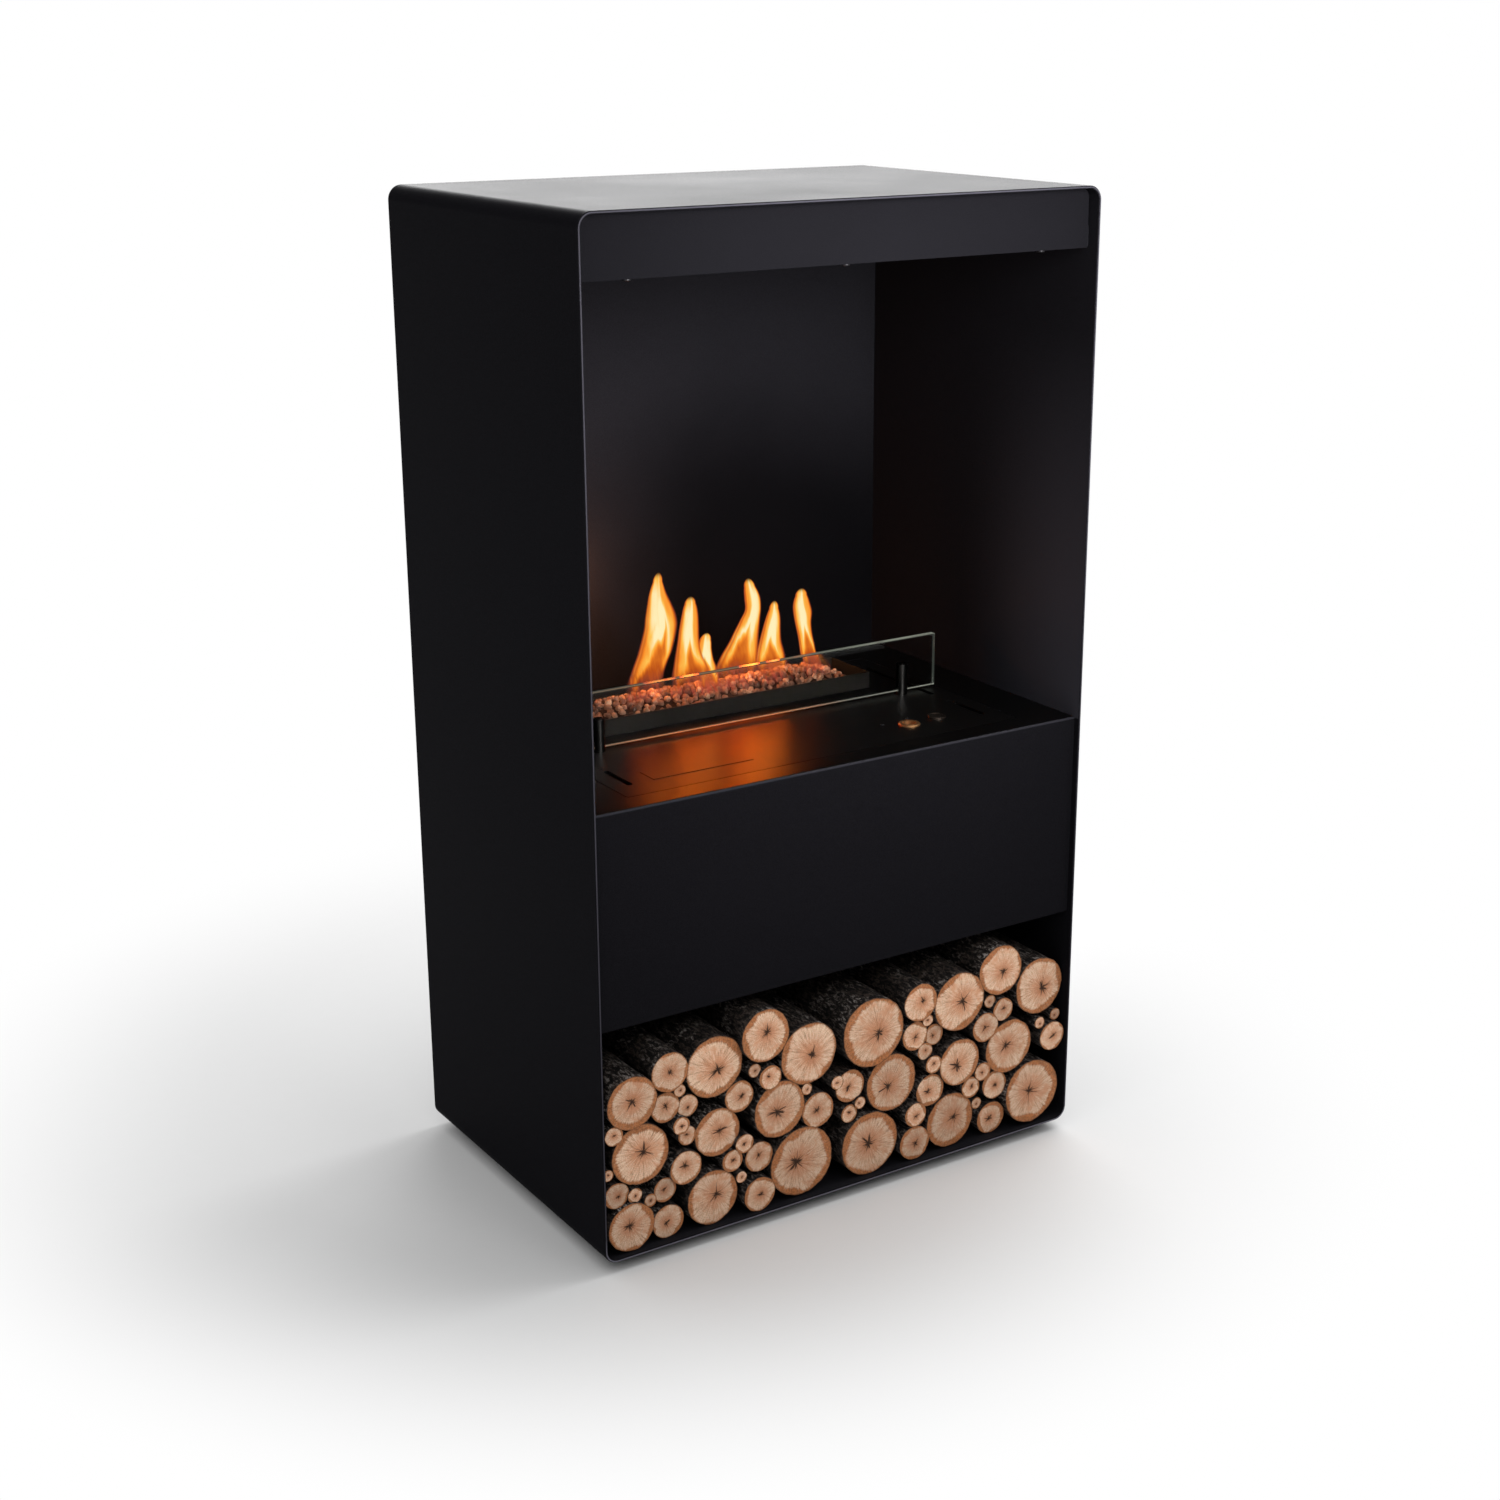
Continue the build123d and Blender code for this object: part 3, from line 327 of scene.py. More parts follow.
def tree_of(*values):
    """The node tree of the first wire among the values."""
    return next(value.tree for value in values if isinstance(value, Wire))


def calc(operation, *values, clamp=False):
    """A Math node on numbers and wires."""
    sockets = dict(enumerate(values))
    return Node(tree_of(*values), "ShaderNodeMath", sockets, operation=operation, use_clamp=clamp)[0]


def greatest(*values):
    """The greatest of two or three values."""
    first, *others = values
    for other in others:
        first = calc("MAXIMUM", first, other)
    return first


def vcalc(operation, *values):
    """A Vector Math node on vectors."""
    node = Node(tree_of(*values), "ShaderNodeVectorMath", dict(enumerate(values)), operation=operation)
    return node["Value" if operation in ("LENGTH", "DISTANCE", "DOT_PRODUCT") else "Vector"]


def is_vector(value):
    return isinstance(value, tuple) or isinstance(value, Wire) and value.socket.type == "VECTOR"


def joint(operation, first, second):
    """One step of arithmetic; a number scales a vector, three numbers work on it part by part."""
    if not is_vector(first):
        return calc(operation, first, second)
    if is_vector(second):
        return vcalc(operation, first, second)
    return Node(first.tree, "ShaderNodeVectorMath", {0: first, "Scale": second}, operation="SCALE")["Vector"]


def axes(vector):
    """The X, Y and Z of a vector."""
    node = Node(vector.tree, "ShaderNodeSeparateXYZ", {0: vector})
    return node[0], node[1], node[2]


def joined(x=0.0, y=0.0, z=0.0):
    """A vector, or a colour, of three values."""
    return Node(tree_of(x, y, z), "ShaderNodeCombineXYZ", {0: x, 1: y, 2: z})[0]


def noise(place, scale=1.0, detail=2.0, roughness=0.5, distortion=0.0):
    sockets = dict(Vector=place, Scale=scale, Detail=detail, Roughness=roughness, Distortion=distortion)
    return Node(place.tree, "ShaderNodeTexNoise", sockets)[0]


def span(value, low, high, start=0.0, end=1.0, smooth=False):
    """The value's way from low to high, as a way from start to end."""
    sockets = {0: value, 1: low, 2: high, 3: start, 4: end}
    kind = "SMOOTHSTEP" if smooth else "LINEAR"
    return Node(value.tree, "ShaderNodeMapRange", sockets, interpolation_type=kind)[0]


def mixed(share, first, second, blend="MIX"):
    """Two colours mixed; each is a wire or three numbers."""
    sockets = {0: share}
    for index, tone in ((6, first), (7, second)):
        sockets[index] = tone if isinstance(tone, Wire) else (*tone, 1.0)
    tree = tree_of(share, first, second)
    return Node(tree, "ShaderNodeMix", sockets, data_type="RGBA", blend_type=blend)[2]


def ramp(value, *stops):
    """Colours along a value, each stop a place and three numbers."""
    node = Node(value.tree, "ShaderNodeValToRGB", {"Fac": value})
    elements = node.node.color_ramp.elements
    elements.remove(elements[1])
    elements[0].position = stops[0][0]
    elements[0].color = (*stops[0][1], 1.0)
    for position, tone in stops[1:]:
        elements.new(position).color = (*tone, 1.0)
    return node["Color"]


def bumped(height, depth, strength=1.0):
    return Node(height.tree, "ShaderNodeBump", {"Height": height, "Distance": depth, "Strength": strength})[0]


def grey(value):
    return joined(value, value, value)


def attribute(tree, name, output="Fac"):
    """An attribute that the geometry carries, in a material."""
    return Node(tree, "ShaderNodeAttribute", attribute_type="GEOMETRY", attribute_name=name)[output]


def dimmed(tone, share):
    """Three numbers, all made darker or lighter by a share."""
    return tuple(share * part for part in tone)


def node_group(name, inputs, outputs, kind="ShaderNodeTree"):
    """An empty group; returns it, the wires it is given and the sockets of what it makes.

    Each input is a kind of socket, or a kind and its default; each output is a kind."""
    tree = bpy.data.node_groups.new(name, kind)
    for label, socket in inputs.items():
        socket, *default = socket if isinstance(socket, tuple) else (socket,)
        item = tree.interface.new_socket(label, in_out="INPUT", socket_type="NodeSocket" + socket)
        if default:
            item.default_value = default[0]
    for label, socket in outputs.items():
        tree.interface.new_socket(label, in_out="OUTPUT", socket_type="NodeSocket" + socket)
    given = {socket.name: Wire(socket) for socket in tree.nodes.new("NodeGroupInput").outputs}
    made = tree.nodes.new("NodeGroupOutput").inputs
    return tree, given, made


def spaced(sockets):
    """The same values, their sockets named with blanks in place of underscores."""
    return {key.replace("_", " "): value for key, value in sockets.items()}


def new_material(name, **constants):
    """A material with one Principled shader; returns it, the shader's sockets and Object coordinates."""
    material = bpy.data.materials.new(name)
    material.use_nodes = True
    tree = material.node_tree
    tree.nodes.clear()
    shader = Node(tree, "ShaderNodeBsdfPrincipled", spaced(constants))
    Node(tree, "ShaderNodeOutputMaterial", {"Surface": shader[0]})
    place = Node(tree, "ShaderNodeTexCoord")["Object"]
    return material, shader.node.inputs, place


def surface(shader, tone, roughness, height, depth, strength=1.0):
    """Gives a Principled shader its colour, roughness and relief."""
    feed(shader["Base Color"], tone)
    feed(shader["Roughness"], roughness)
    feed(shader["Normal"], bumped(height, depth, strength))


def with_group(name, **sockets):
    """A shared group placed in a material."""
    group = bpy.data.node_groups[name]
    return Node(tree_of(*sockets.values()), "ShaderNodeGroup", spaced(sockets), node_tree=group)


# ---- Shared effects ----
def powder_grain():
    """Fine orange-peel grain of a powder coat."""
    inputs = {"Place": "Vector", "Grains per metre": ("Float", 1400.0)}
    outputs = {"Fleck": "Float", "Height": "Float", "Cloud": "Float"}
    _, given, made = node_group("Powder grain", inputs, outputs)
    fine = noise(given["Place"], given["Grains per metre"], detail=3.0, roughness=0.65)
    coarse = noise(given["Place"], given["Grains per metre"] * 0.28, detail=1.0)
    feed(made["Fleck"], span(fine, 0.36, 0.7))
    feed(made["Height"], fine + coarse * 0.6)
    feed(made["Cloud"], span(noise(given["Place"], 5.0, detail=3.0), 0.3, 0.7))


def fine_scratches():
    """Long thin marks of brushing or turning, stretched along one axis."""
    inputs = {"Place": "Vector", "Stretch": ("Vector", (1.0, 1.0, 1.0))}
    _, given, made = node_group("Fine scratches", inputs, {"Marks": "Float", "Smears": "Float"})
    drawn = given["Place"] * given["Stretch"]
    feed(made["Marks"], noise(drawn, 900.0, detail=4.0, roughness=0.7))
    feed(made["Smears"], span(noise(given["Place"], 28.0, detail=3.0), 0.35, 0.7))


def settled_dust():
    """Share of dust on faces that look up."""
    inputs = {"Place": "Vector", "Amount": ("Float", 0.1)}
    tree, given, made = node_group("Settled dust", inputs, {"Dust": "Float"})
    upward = span(axes(Node(tree, "ShaderNodeNewGeometry")["Normal"])[2], 0.5, 1.0)
    patches = span(noise(given["Place"], 34.0, detail=5.0, roughness=0.65), 0.42, 0.75)
    specks = span(noise(given["Place"], 900.0, detail=1.0), 0.6, 0.72)
    lying = upward * (patches * 0.5 + specks)
    feed(made["Dust"], calc("MULTIPLY", lying, given["Amount"], clamp=True))


# ---- Materials of the cabinet and the burner ----
def coated_steel(
    name, dark, light, roughness, gloss, grain, depth=0.00012, dust=0.04, soot=None, bare=None, top=None,
    inner=None,
):
    """Coated sheet steel with a fine grain, faint clouds and a trace of dust.

    It darkens round the soot point, as soot and painted shade; the highlight mask gives the share of a
    painted highlight and the inner mask the share of painted light, both towards paler tones; and top is the
    colour and gloss of faces that look up."""
    material, shader, place = new_material(name, Specular_IOR_Level=gloss)
    grains = with_group("Powder grain", Place=place, Grains_per_metre=1.0 / grain)
    lying = with_group("Settled dust", Place=place, Amount=dust)["Dust"]
    coat = mixed(grains["Fleck"], dark, light)
    clouded = mixed(grains["Cloud"] * 0.12, coat, light)
    facing = axes(Node(place.tree, "ShaderNodeNewGeometry")["True Normal"])
    # Soot and painted shade: faces that look forward darken round the soot point, to about a quarter of their
    # tone.
    if soot:
        away = vcalc("DISTANCE", place, soot)
        smoke_and_shade = away + noise(place, 4.0, detail=3.0) * 0.16
        clean_and_unshaded = greatest(span(smoke_and_shade, 0.2, 0.44, 0.26, 1.0, smooth=True), facing[1] > -0.5)
        clouded = mixed(1.0, clouded, grey(clean_and_unshaded), "MULTIPLY")
    if top:
        up = span(facing[2], 0.75, 0.98)
        clouded = mixed(up, clouded, top[0])
        feed(shader["Specular IOR Level"], span(up, 0.0, 1.0, gloss, top[1]))
    # Painted light: where the inner mask is set, the coat turns to a much paler tone.
    if inner:
        clouded = mixed(inner(place, facing), clouded, dimmed(light, WALL_LIGHT_GAIN))
    # Painted highlight: where the highlight mask is set, the coat turns paler still.
    if bare:
        clouded = mixed(bare(place, facing), clouded, dimmed(light, HIGHLIGHT_GAIN))
    dusty = mixed(lying, clouded, (0.2, 0.19, 0.18))
    rough = grains["Cloud"] * 0.05 + (roughness - 0.03) + lying * 0.4
    surface(shader, dusty, rough, grains["Height"], depth, 0.55)
    return material


def front_rim_highlight(place, facing):
    """Share of the painted highlight on the cut front edge of the sleeve's sheet."""
    ahead = axes(place)[1] < SLEEVE_LOW[1] + 0.0004
    # The painted highlight grows stronger towards the bottom edge.
    worn = span(axes(place)[2], SLEEVE_LOW[2] + 0.03, SLEEVE_LOW[2] + 0.004, 0.28, 1.0)
    return ahead * worn * (facing[1] < -0.9)


def side_wall_light(place, facing):
    """Share of the painted light on the chamber's side walls, at the front and low down."""
    across, along, up = axes(place)
    inside = abs(across) < SLEEVE_HIGH[0] - 0.002
    sideways = abs(facing[0]) > 0.9
    front = span(along, 0.02, -0.18, smooth=True)
    low = span(up, 0.9, 0.52, 0.04, 1.0)
    above = up > CHAMBER_FLOOR
    return front * low * (inside * sideways) * above * 0.7


def shelf_bend_highlight(place, facing):
    """Share of the painted highlight on the bend between deck and fascia."""
    return span(facing[2], 0.15, 0.45) * span(facing[1], -0.35, -0.6) * 0.13


def metal(name, tone, roughness, stretch, tarnish, marks=0.00004):
    """Bare metal with brushing marks and a darker tarnish in smears."""
    material, shader, place = new_material(name, Metallic=1.0)
    scratches = with_group("Fine scratches", Place=place, Stretch=stretch)
    smeared = mixed(scratches["Smears"], tone, tarnish)
    rough = span(scratches["Marks"], 0.3, 0.7) * 0.16 + roughness
    surface(shader, smeared, rough, scratches["Marks"], marks, 0.6)
    return material


def zinc_plate(name, tone):
    """Plated steel with the pale and dark crystals of zinc."""
    material, shader, place = new_material(name, Metallic=1.0)
    crystals = Node(place.tree, "ShaderNodeTexVoronoi", {"Vector": place, "Scale": 230.0}, feature="F1")
    shade = axes(crystals["Color"])[0]
    plated = mixed(shade, dimmed(tone, 0.55), tone)
    surface(shader, plated, span(shade, 0.0, 1.0, 0.34, 0.52), crystals["Distance"], 0.00006, 0.4)
    return material


def moulded(name, tone, roughness, grain=0.0011, depth=0.00008, gloss=0.5):
    """Moulded plastic or rubber with a fine spark-eroded grain."""
    material, shader, place = new_material(name, Specular_IOR_Level=gloss)
    pits = noise(place, 1.0 / grain, detail=2.0)
    worn = span(noise(place, 40.0, detail=4.0), 0.45, 0.8)
    pale = tuple(part + 0.004 for part in dimmed(tone, 1.9))
    surface(
        shader, mixed(worn, tone, pale),
        span(pits, 0.3, 0.7, roughness - 0.06, roughness + 0.08), pits, depth, 0.5,
    )
    return material


def ceramic_fibre(name, tone):
    """Pale ceramic, browned by the flame in patches."""
    material, shader, place = new_material(name, Specular_IOR_Level=0.3)
    fibres = noise(place * (120.0, 700.0, 420.0), detail=5.0, roughness=0.7)
    scorched = span(noise(place, 70.0, detail=4.0), 0.4, 0.68)
    browned = dimmed(tone, 0.32)
    base = mixed(scorched, tone, browned)
    surface(
        shader, mixed(span(fibres, 0.35, 0.7, 0.0, 0.35), base, browned),
        span(fibres, 0.3, 0.7, 0.75, 0.92), fibres, 0.0004, 0.7,
    )
    return material


def lens_material(name, tone):
    """Smoked lens with a faint ribbing below its gloss."""
    material, shader, place = new_material(
        name, Coat_Weight=0.15, Coat_Roughness=0.15, Specular_IOR_Level=0.2
    )
    ribs = noise(place * (2400.0, 300.0, 300.0), detail=1.0)
    pale = dimmed(tone, 1.8)
    feed(shader["Base Color"], mixed(span(ribs, 0.35, 0.65), tone, pale))
    feed(shader["Roughness"], span(ribs, 0.3, 0.7, 0.16, 0.3))
    return material


def finish(material, *nodes):
    """Gives the material to CAD nodes."""
    for node in nodes:
        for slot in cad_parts[node].material_slots:
            slot.material = material


# ---- Pieces grown from points by Geometry Nodes ----
def socket_name(tree, label):
    return next(
        item.identifier
        for item in tree.interface.items_tree
        if item.item_type == "SOCKET" and item.in_out == "INPUT" and item.name == label
    )


def grown(name, start_mesh, tree, **values):
    """The plain mesh that the tree makes of the start mesh, as an object of its own."""
    start = added(name + "_start", start_mesh)
    modifier = start.modifiers.new(name, "NODES")
    modifier.node_group = tree
    for label, value in spaced(values).items():
        modifier[socket_name(tree, label)] = value
    graph = bpy.context.evaluated_depsgraph_get()
    mesh = bpy.data.meshes.new_from_object(
        start.evaluated_get(graph), preserve_all_data_layers=True, depsgraph=graph
    )
    bpy.data.objects.remove(start)
    return placed(name, mesh)


def added(name, data):
    """A new object in the scene."""
    thing = bpy.data.objects.new(name, data)
    bpy.context.scene.collection.objects.link(thing)
    return thing


def placed(name, mesh):
    """A piece of the visual model, that has to have faces."""
    mesh.name = name
    piece = added(name, mesh)
    if not len(mesh.polygons):
        raise RuntimeError(name + " came out without faces")
    return piece


def quads(rows, count, closed):
    """Faces between rows of points, each row an open line or a closed ring of count points."""
    corners = [(n, (n + 1) % count) for n in range(count if closed else count - 1)]
    return [
        (row * count + a, row * count + b, (row + 1) * count + b, (row + 1) * count + a)
        for row in range(rows) for a, b in corners
    ]


def point_mesh(name, places, **attributes):
    """Loose points with one number or vector per point for each attribute."""
    mesh = bpy.data.meshes.new(name)
    mesh.from_pydata(places, [], [])
    for label, values in attributes.items():
        vector = hasattr(values[0], "__len__")
        layer = mesh.attributes.new(label, "FLOAT_VECTOR" if vector else "FLOAT", "POINT")
        flat = [part for value in values for part in value] if vector else values
        layer.data.foreach_set("vector" if vector else "value", flat)
    return mesh


def solid_boxes(node):
    """Lowest and highest corner of each separate solid of a CAD node, in a fixed order."""
    copy = bmesh.new()
    copy.from_mesh(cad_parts[node].data)
    bmesh.ops.remove_doubles(copy, verts=copy.verts, dist=1e-6)
    unseen = set(copy.verts)
    boxes = []
    while unseen:
        front = [unseen.pop()]
        places = []
        while front:
            vert = front.pop()
            places.append(vert.co.copy())
            near = {edge.other_vert(vert) for edge in vert.link_edges} & unseen
            unseen -= near
            front.extend(near)
        low = Vector([min(place[n] for place in places) for n in range(3)])
        high = Vector([max(place[n] for place in places) for n in range(3)])
        boxes.append((low, high))
    copy.free()
    return sorted(boxes, key=lambda box: tuple(round(part, 5) for part in (*box[0], *box[1])))


def named(tree, name, kind="FLOAT"):
    """An attribute that the geometry carries, in a tree of geometry nodes."""
    return Node(tree, "GeometryNodeInputNamedAttribute", {"Name": name}, data_type=kind)[0]


def step(source, kind, settings=None, **sockets):
    """A geometry node that works on the source; gives its first output."""
    return Node(source.tree, "GeometryNode" + kind, {0: source, **spaced(sockets)}, **(settings or {}))[0]


def stored(source, name, value, kind, domain):
    """The source with the value kept as an attribute."""
    settings = {"data_type": kind, "domain": domain}
    return step(source, "StoreNamedAttribute", settings, Name=name, Value=value)


# ---- Firewood ----
def firewood_tree():
    """Logs on points: bark with furrows, out-of-round sections and uneven sawn ends."""
    inputs = {
        "Logs": "Geometry", "Sides": ("Int", 64), "Rows": ("Int", 40), "Rings": ("Int", 8),
        "Length": ("Float", 0.34), "Out of round": ("Float", 0.05), "Furrow depth": ("Float", 0.002),
        "Saw marks": ("Float", 0.001), "Bark": "Material", "Sawn wood": "Material",
    }
    tree, given, made = node_group("Firewood", inputs, {"Firewood": "Geometry"}, "GeometryNodeTree")
    parts = {"Vertices": given["Sides"], "Side Segments": given["Rows"], "Fill Segments": given["Rings"]}
    rod = Node(
        tree, "GeometryNodeMeshCylinder", {**parts, "Radius": 1.0, "Depth": 1.0}, fill_type="TRIANGLE_FAN"
    )
    lying = step(rod["Mesh"], "Transform", Rotation=(math.pi / 2, 0.0, 0.0))
    position = Node(tree, "GeometryNodeInputPosition")[0]
    marked = stored(lying, "log_place", position, "FLOAT_VECTOR", "POINT")
    ends = Node(tree, "FunctionNodeBooleanMath", {0: rod["Top"], 1: rod["Bottom"]}, operation="OR")[0]
    marked = stored(marked, "end_face", ends, "BOOLEAN", "FACE")
    radius = named(tree, "radius")
    turn = joined(y=named(tree, "turn"))
    size = joined(radius, given["Length"], radius)
    logs = step(given["Logs"], "InstanceOnPoints", Instance=marked, Rotation=turn, Scale=size)
    real = step(logs, "RealizeInstances")

    seed = named(tree, "seed")
    x, _, z = axes(position - named(tree, "centre", "FLOAT_VECTOR"))
    outward = vcalc("NORMALIZE", joined(x, 0.0, z))
    local = axes(named(tree, "log_place", "FLOAT_VECTOR"))
    reach = vcalc("LENGTH", joined(local[0], 0.0, local[2]))
    skin = span(reach, 0.95, 1.0)
    shift = joined(seed, axes(position)[1] * 3.0, seed)
    lump = span(noise(outward * 0.8 + shift, detail=1.0), 0.25, 0.75)
    squeeze = lump * given["Out of round"] * radius * reach
    drawn = position * (150.0, 26.0, 150.0)
    furrow = span(noise(drawn + shift, detail=3.0, roughness=0.6), 0.42, 0.72)
    thickness = span(radius, 0.006, 0.03, 0.25, 1.0)
    near_end = span(abs(local[1]), 0.485, 0.5, 1.0, 0.45)
    furrow = furrow * given["Furrow depth"] * thickness * near_end
    inward = squeeze + furrow * skin
    at_end = abs(local[1]) > 0.499
    side = calc("SIGN", local[1])
    rough = noise(position * 55.0 + shift, detail=4.0, roughness=0.7)
    rough = span(rough, 0.2, 0.8) * given["Saw marks"]
    along = rough * side * (at_end * -1.0)
    offset = outward * (inward * -1.0) + joined(y=along)
    carved = step(real, "SetPosition", Offset=offset)

    sawn = named(tree, "end_face", "BOOLEAN")
    for selection, smooth in ((True, True), (sawn, False)):
        carved = step(carved, "SetShadeSmooth", Selection=selection, Shade_Smooth=smooth)
    barked = step(carved, "SetMaterial", Material=given["Bark"])
    feed(made["Firewood"], step(barked, "SetMaterial", Selection=sawn, Material=given["Sawn wood"]))
    return tree


def sawn_wood(wood):
    """End grain: rings, rays, a cracked pith and an orange-brown ring of inner bark."""
    material, shader, place = new_material("Sawn wood", Specular_IOR_Level=0.25)
    local = axes(attribute(place.tree, "log_place", "Vector"))
    seed = attribute(place.tree, "seed")
    radius = attribute(place.tree, "radius")
    flat = joined(local[0], local[2], 0.0)
    reach = vcalc("LENGTH", flat)
    own = joined(z=seed)
    pith = joined(calc("SINE", seed * 7.3) * 0.13, calc("COSINE", seed * 4.1) * 0.13)
    wobble = noise(flat * 2.2 + own, detail=2.0)
    arm = flat - pith
    way = vcalc("LENGTH", arm)
    heading = vcalc("NORMALIZE", arm)
    age = way / (way + (1.0 - reach))
    bent = age + (wobble - 0.5) * 0.1

    drawn_out = joined(z=way * 1.6)
    rays = noise(heading * 12.0 + drawn_out + own, detail=4.0, roughness=0.8)
    short = joined(z=way * 8.0)
    fine_rays = noise(heading * 38.0 + short + own, detail=4.0, roughness=0.75)
    streak = rays * 0.45 + fine_rays * 0.55
    ring = span(calc("SINE", bent * radius * (math.tau / wood.ring_spacing)), -1.0, 1.0)

    patch = noise(flat * 2.6 + own, detail=4.0, roughness=0.6)
    heart = span(bent + patch * 0.5, 0.46, 1.0, smooth=True)
    wood_tone = mixed(heart, wood.heart_wood, wood.pale_wood)
    pale_share = span(streak, 0.5, 0.6, 0.0, 0.85) * span(way, 0.1, 0.5, 0.35, 1.0)
    wood_tone = mixed(pale_share, wood_tone, wood.ray_wood)
    wood_tone = mixed(span(streak, 0.485, 0.4, 0.0, 0.76), wood_tone, wood.dark_wood)
    wood_tone = mixed(ring * 0.15, wood_tone, wood.dark_wood)
    wood_tone = mixed(span(patch, 0.5, 0.66, 0.0, 0.68), wood_tone, wood.heart_wood)
    each = noise(joined(seed * 3.7, 0.3, 0.9), detail=0.0)
    shade = span(each, 0.3, 0.7, 0.78, 1.08)
    wood_tone = mixed(1.0, wood_tone, grey(shade), "MULTIPLY")

    side_noise = noise(heading * 0.9 + own, detail=1.0)
    band = span(side_noise, 0.34, 0.64, 0.045, 0.27)
    ragged = (rays - 0.5) * 0.22
    edge_at = 1.0 - band + ragged
    bark_ring = span(reach - edge_at, -0.045, 0.05, smooth=True)
    speck = noise(flat * 17.0 + own, detail=4.0, roughness=0.7)
    bark_tone = mixed(span(speck, 0.42, 0.6), wood.inner_bark, dimmed(wood.inner_bark, 0.5))
    bark_tone = mixed(span(streak, 0.54, 0.66, 0.0, 0.45), bark_tone, wood.pale_wood)
    tone = mixed(bark_ring * 0.92, wood_tone, bark_tone)
    outer = span(reach + ragged * 0.25, 0.955, 0.995, smooth=True)
    tone = mixed(outer * 0.72, tone, (0.085, 0.04, 0.022))

    jitter = joined(wobble, fine_rays, 0.0) * 0.3
    star = noise(heading * 1.9 + own + jitter, detail=1.0)
    gap = abs(star - 0.5) * way
    length = span(noise(heading * 1.3 + own), 0.34, 0.66, 0.1, 0.48)
    taper = span(way / length, 0.15, 1.0, 1.0, 0.0)
    crack = span(gap, taper * 0.005, taper * 0.018, 1.0, 0.0) * span(taper, 0.0, 0.15)
    crack = greatest(crack, span(way, 0.018, 0.048, 1.0, 0.0))
    halo = span(way + (speck - 0.5) * 0.5, 0.02, 0.34, 1.0, 0.0, smooth=True) * 0.55
    tone = mixed(halo, tone, (0.42, 0.165, 0.072))
    tone = mixed(crack * 0.96, tone, wood.crack)
    rough = span(streak, 0.3, 0.7, 0.68, 0.9)
    height = ring * 0.18 + streak * 0.5 - crack * 2.5 + bark_ring * 0.4
    surface(shader, tone, rough, height, 0.0007, 0.8)
    return material


def log_bark(wood):
    """Dark cracked bark with pale grey ridges and brown patches."""
    material, shader, place = new_material("Log bark", Specular_IOR_Level=0.25)
    seed = attribute(place.tree, "seed")
    own = grey(seed)
    drawn = place * (300.0, 120.0, 300.0) + own
    plates = noise(drawn, detail=6.0, roughness=0.72, distortion=0.6)
    patches = noise(place * 30.0 + own, detail=4.0)
    ridge = span(plates, 0.46, 0.6)
    lichen = span(patches, 0.44, 0.6)
    tone = mixed(ridge, wood.bark_dark, (0.085, 0.062, 0.05))
    tone = mixed(span(plates, 0.53, 0.64) * lichen, tone, wood.bark_light)
    surface(shader, tone, span(plates, 0.3, 0.7, 0.92, 0.7), plates, 0.003, 1.0)
    return material


# ---- Pebbles ----
def pebble_tree():
    """Irregular pebbles scattered over the top of the heap."""
    inputs = {
        "Heap": "Geometry", "Size": ("Float", 0.009), "Spacing": ("Float", 0.006), "Seed": ("Int", 0),
        "Stone": "Material",
    }
    tree, given, made = node_group("Pebble bed", inputs, {"Pebbles": "Geometry"}, "GeometryNodeTree")
    scattered = step(
        given["Heap"], "DistributePointsOnFaces", {"distribute_method": "POISSON"},
        Distance_Min=given["Spacing"], Density_Max=60000.0, Seed=given["Seed"],
    )

    def chance(low, high, salt, kind="FLOAT"):
        node = Node(tree, "FunctionNodeRandomValue", data_type=kind).node
        least, most = [socket for socket in node.inputs if socket.enabled and socket.name != "Seed"][:2]
        feed(least, low)
        feed(most, high)
        feed(node.inputs["Seed"], given["Seed"] + float(salt))
        return Wire(next(socket for socket in node.outputs if socket.enabled))

    sunk = step(scattered, "SetPosition", Offset=joined(z=chance(-0.0026, 0.0004, 1)))
    ball = Node(tree, "GeometryNodeMeshIcoSphere", {"Radius": 0.5, "Subdivisions": 2})["Mesh"]
    shape = chance((0.80, 0.72, 0.68), (1.16, 1.04, 0.98), 2, "FLOAT_VECTOR")
    turn = chance((0.0, 0.0, 0.0), (math.tau, math.tau, math.tau), 3, "FLOAT_VECTOR")
    stones = step(sunk, "InstanceOnPoints", Instance=ball, Rotation=turn, Scale=shape * given["Size"])
    toned = stored(stones, "tone", chance(0.0, 1.0, 4), "FLOAT", "INSTANCE")
    real = step(toned, "RealizeInstances")
    position = Node(tree, "GeometryNodeInputPosition")[0]
    normal = Node(tree, "GeometryNodeInputNormal")[0]
    dent = noise(position, 230.0, detail=1.0) - 0.56
    push = normal * (dent * (given["Size"] * 0.34))
    dented = step(real, "SetPosition", Offset=push)
    smooth = step(dented, "SetShadeSmooth", Shade_Smooth=True)
    feed(made["Pebbles"], step(smooth, "SetMaterial", Material=given["Stone"]))
    return tree


def pebble_stone(stones):
    """Porous pinkish-brown ceramic pebbles, each of its own tone."""
    material, shader, place = new_material("Pebble stone", Specular_IOR_Level=0.35)
    tone = attribute(place.tree, "tone")
    body = ramp(tone, (0.0, stones.dark), (0.35, stones.middle), (0.72, stones.middle), (1.0, stones.pale))
    pits = noise(place, 1300.0, detail=4.0, roughness=0.7)
    cloud = noise(place, 260.0, detail=3.0)
    body = mixed(span(cloud, 0.52, 0.74, 0.0, 0.35), body, stones.pale)
    body = mixed(span(pits, 0.48, 0.34, 0.0, 0.8), body, stones.dark)
    surface(shader, body, span(pits, 0.3, 0.7, 0.8, 0.55), pits, 0.0006, 0.8)
    return material


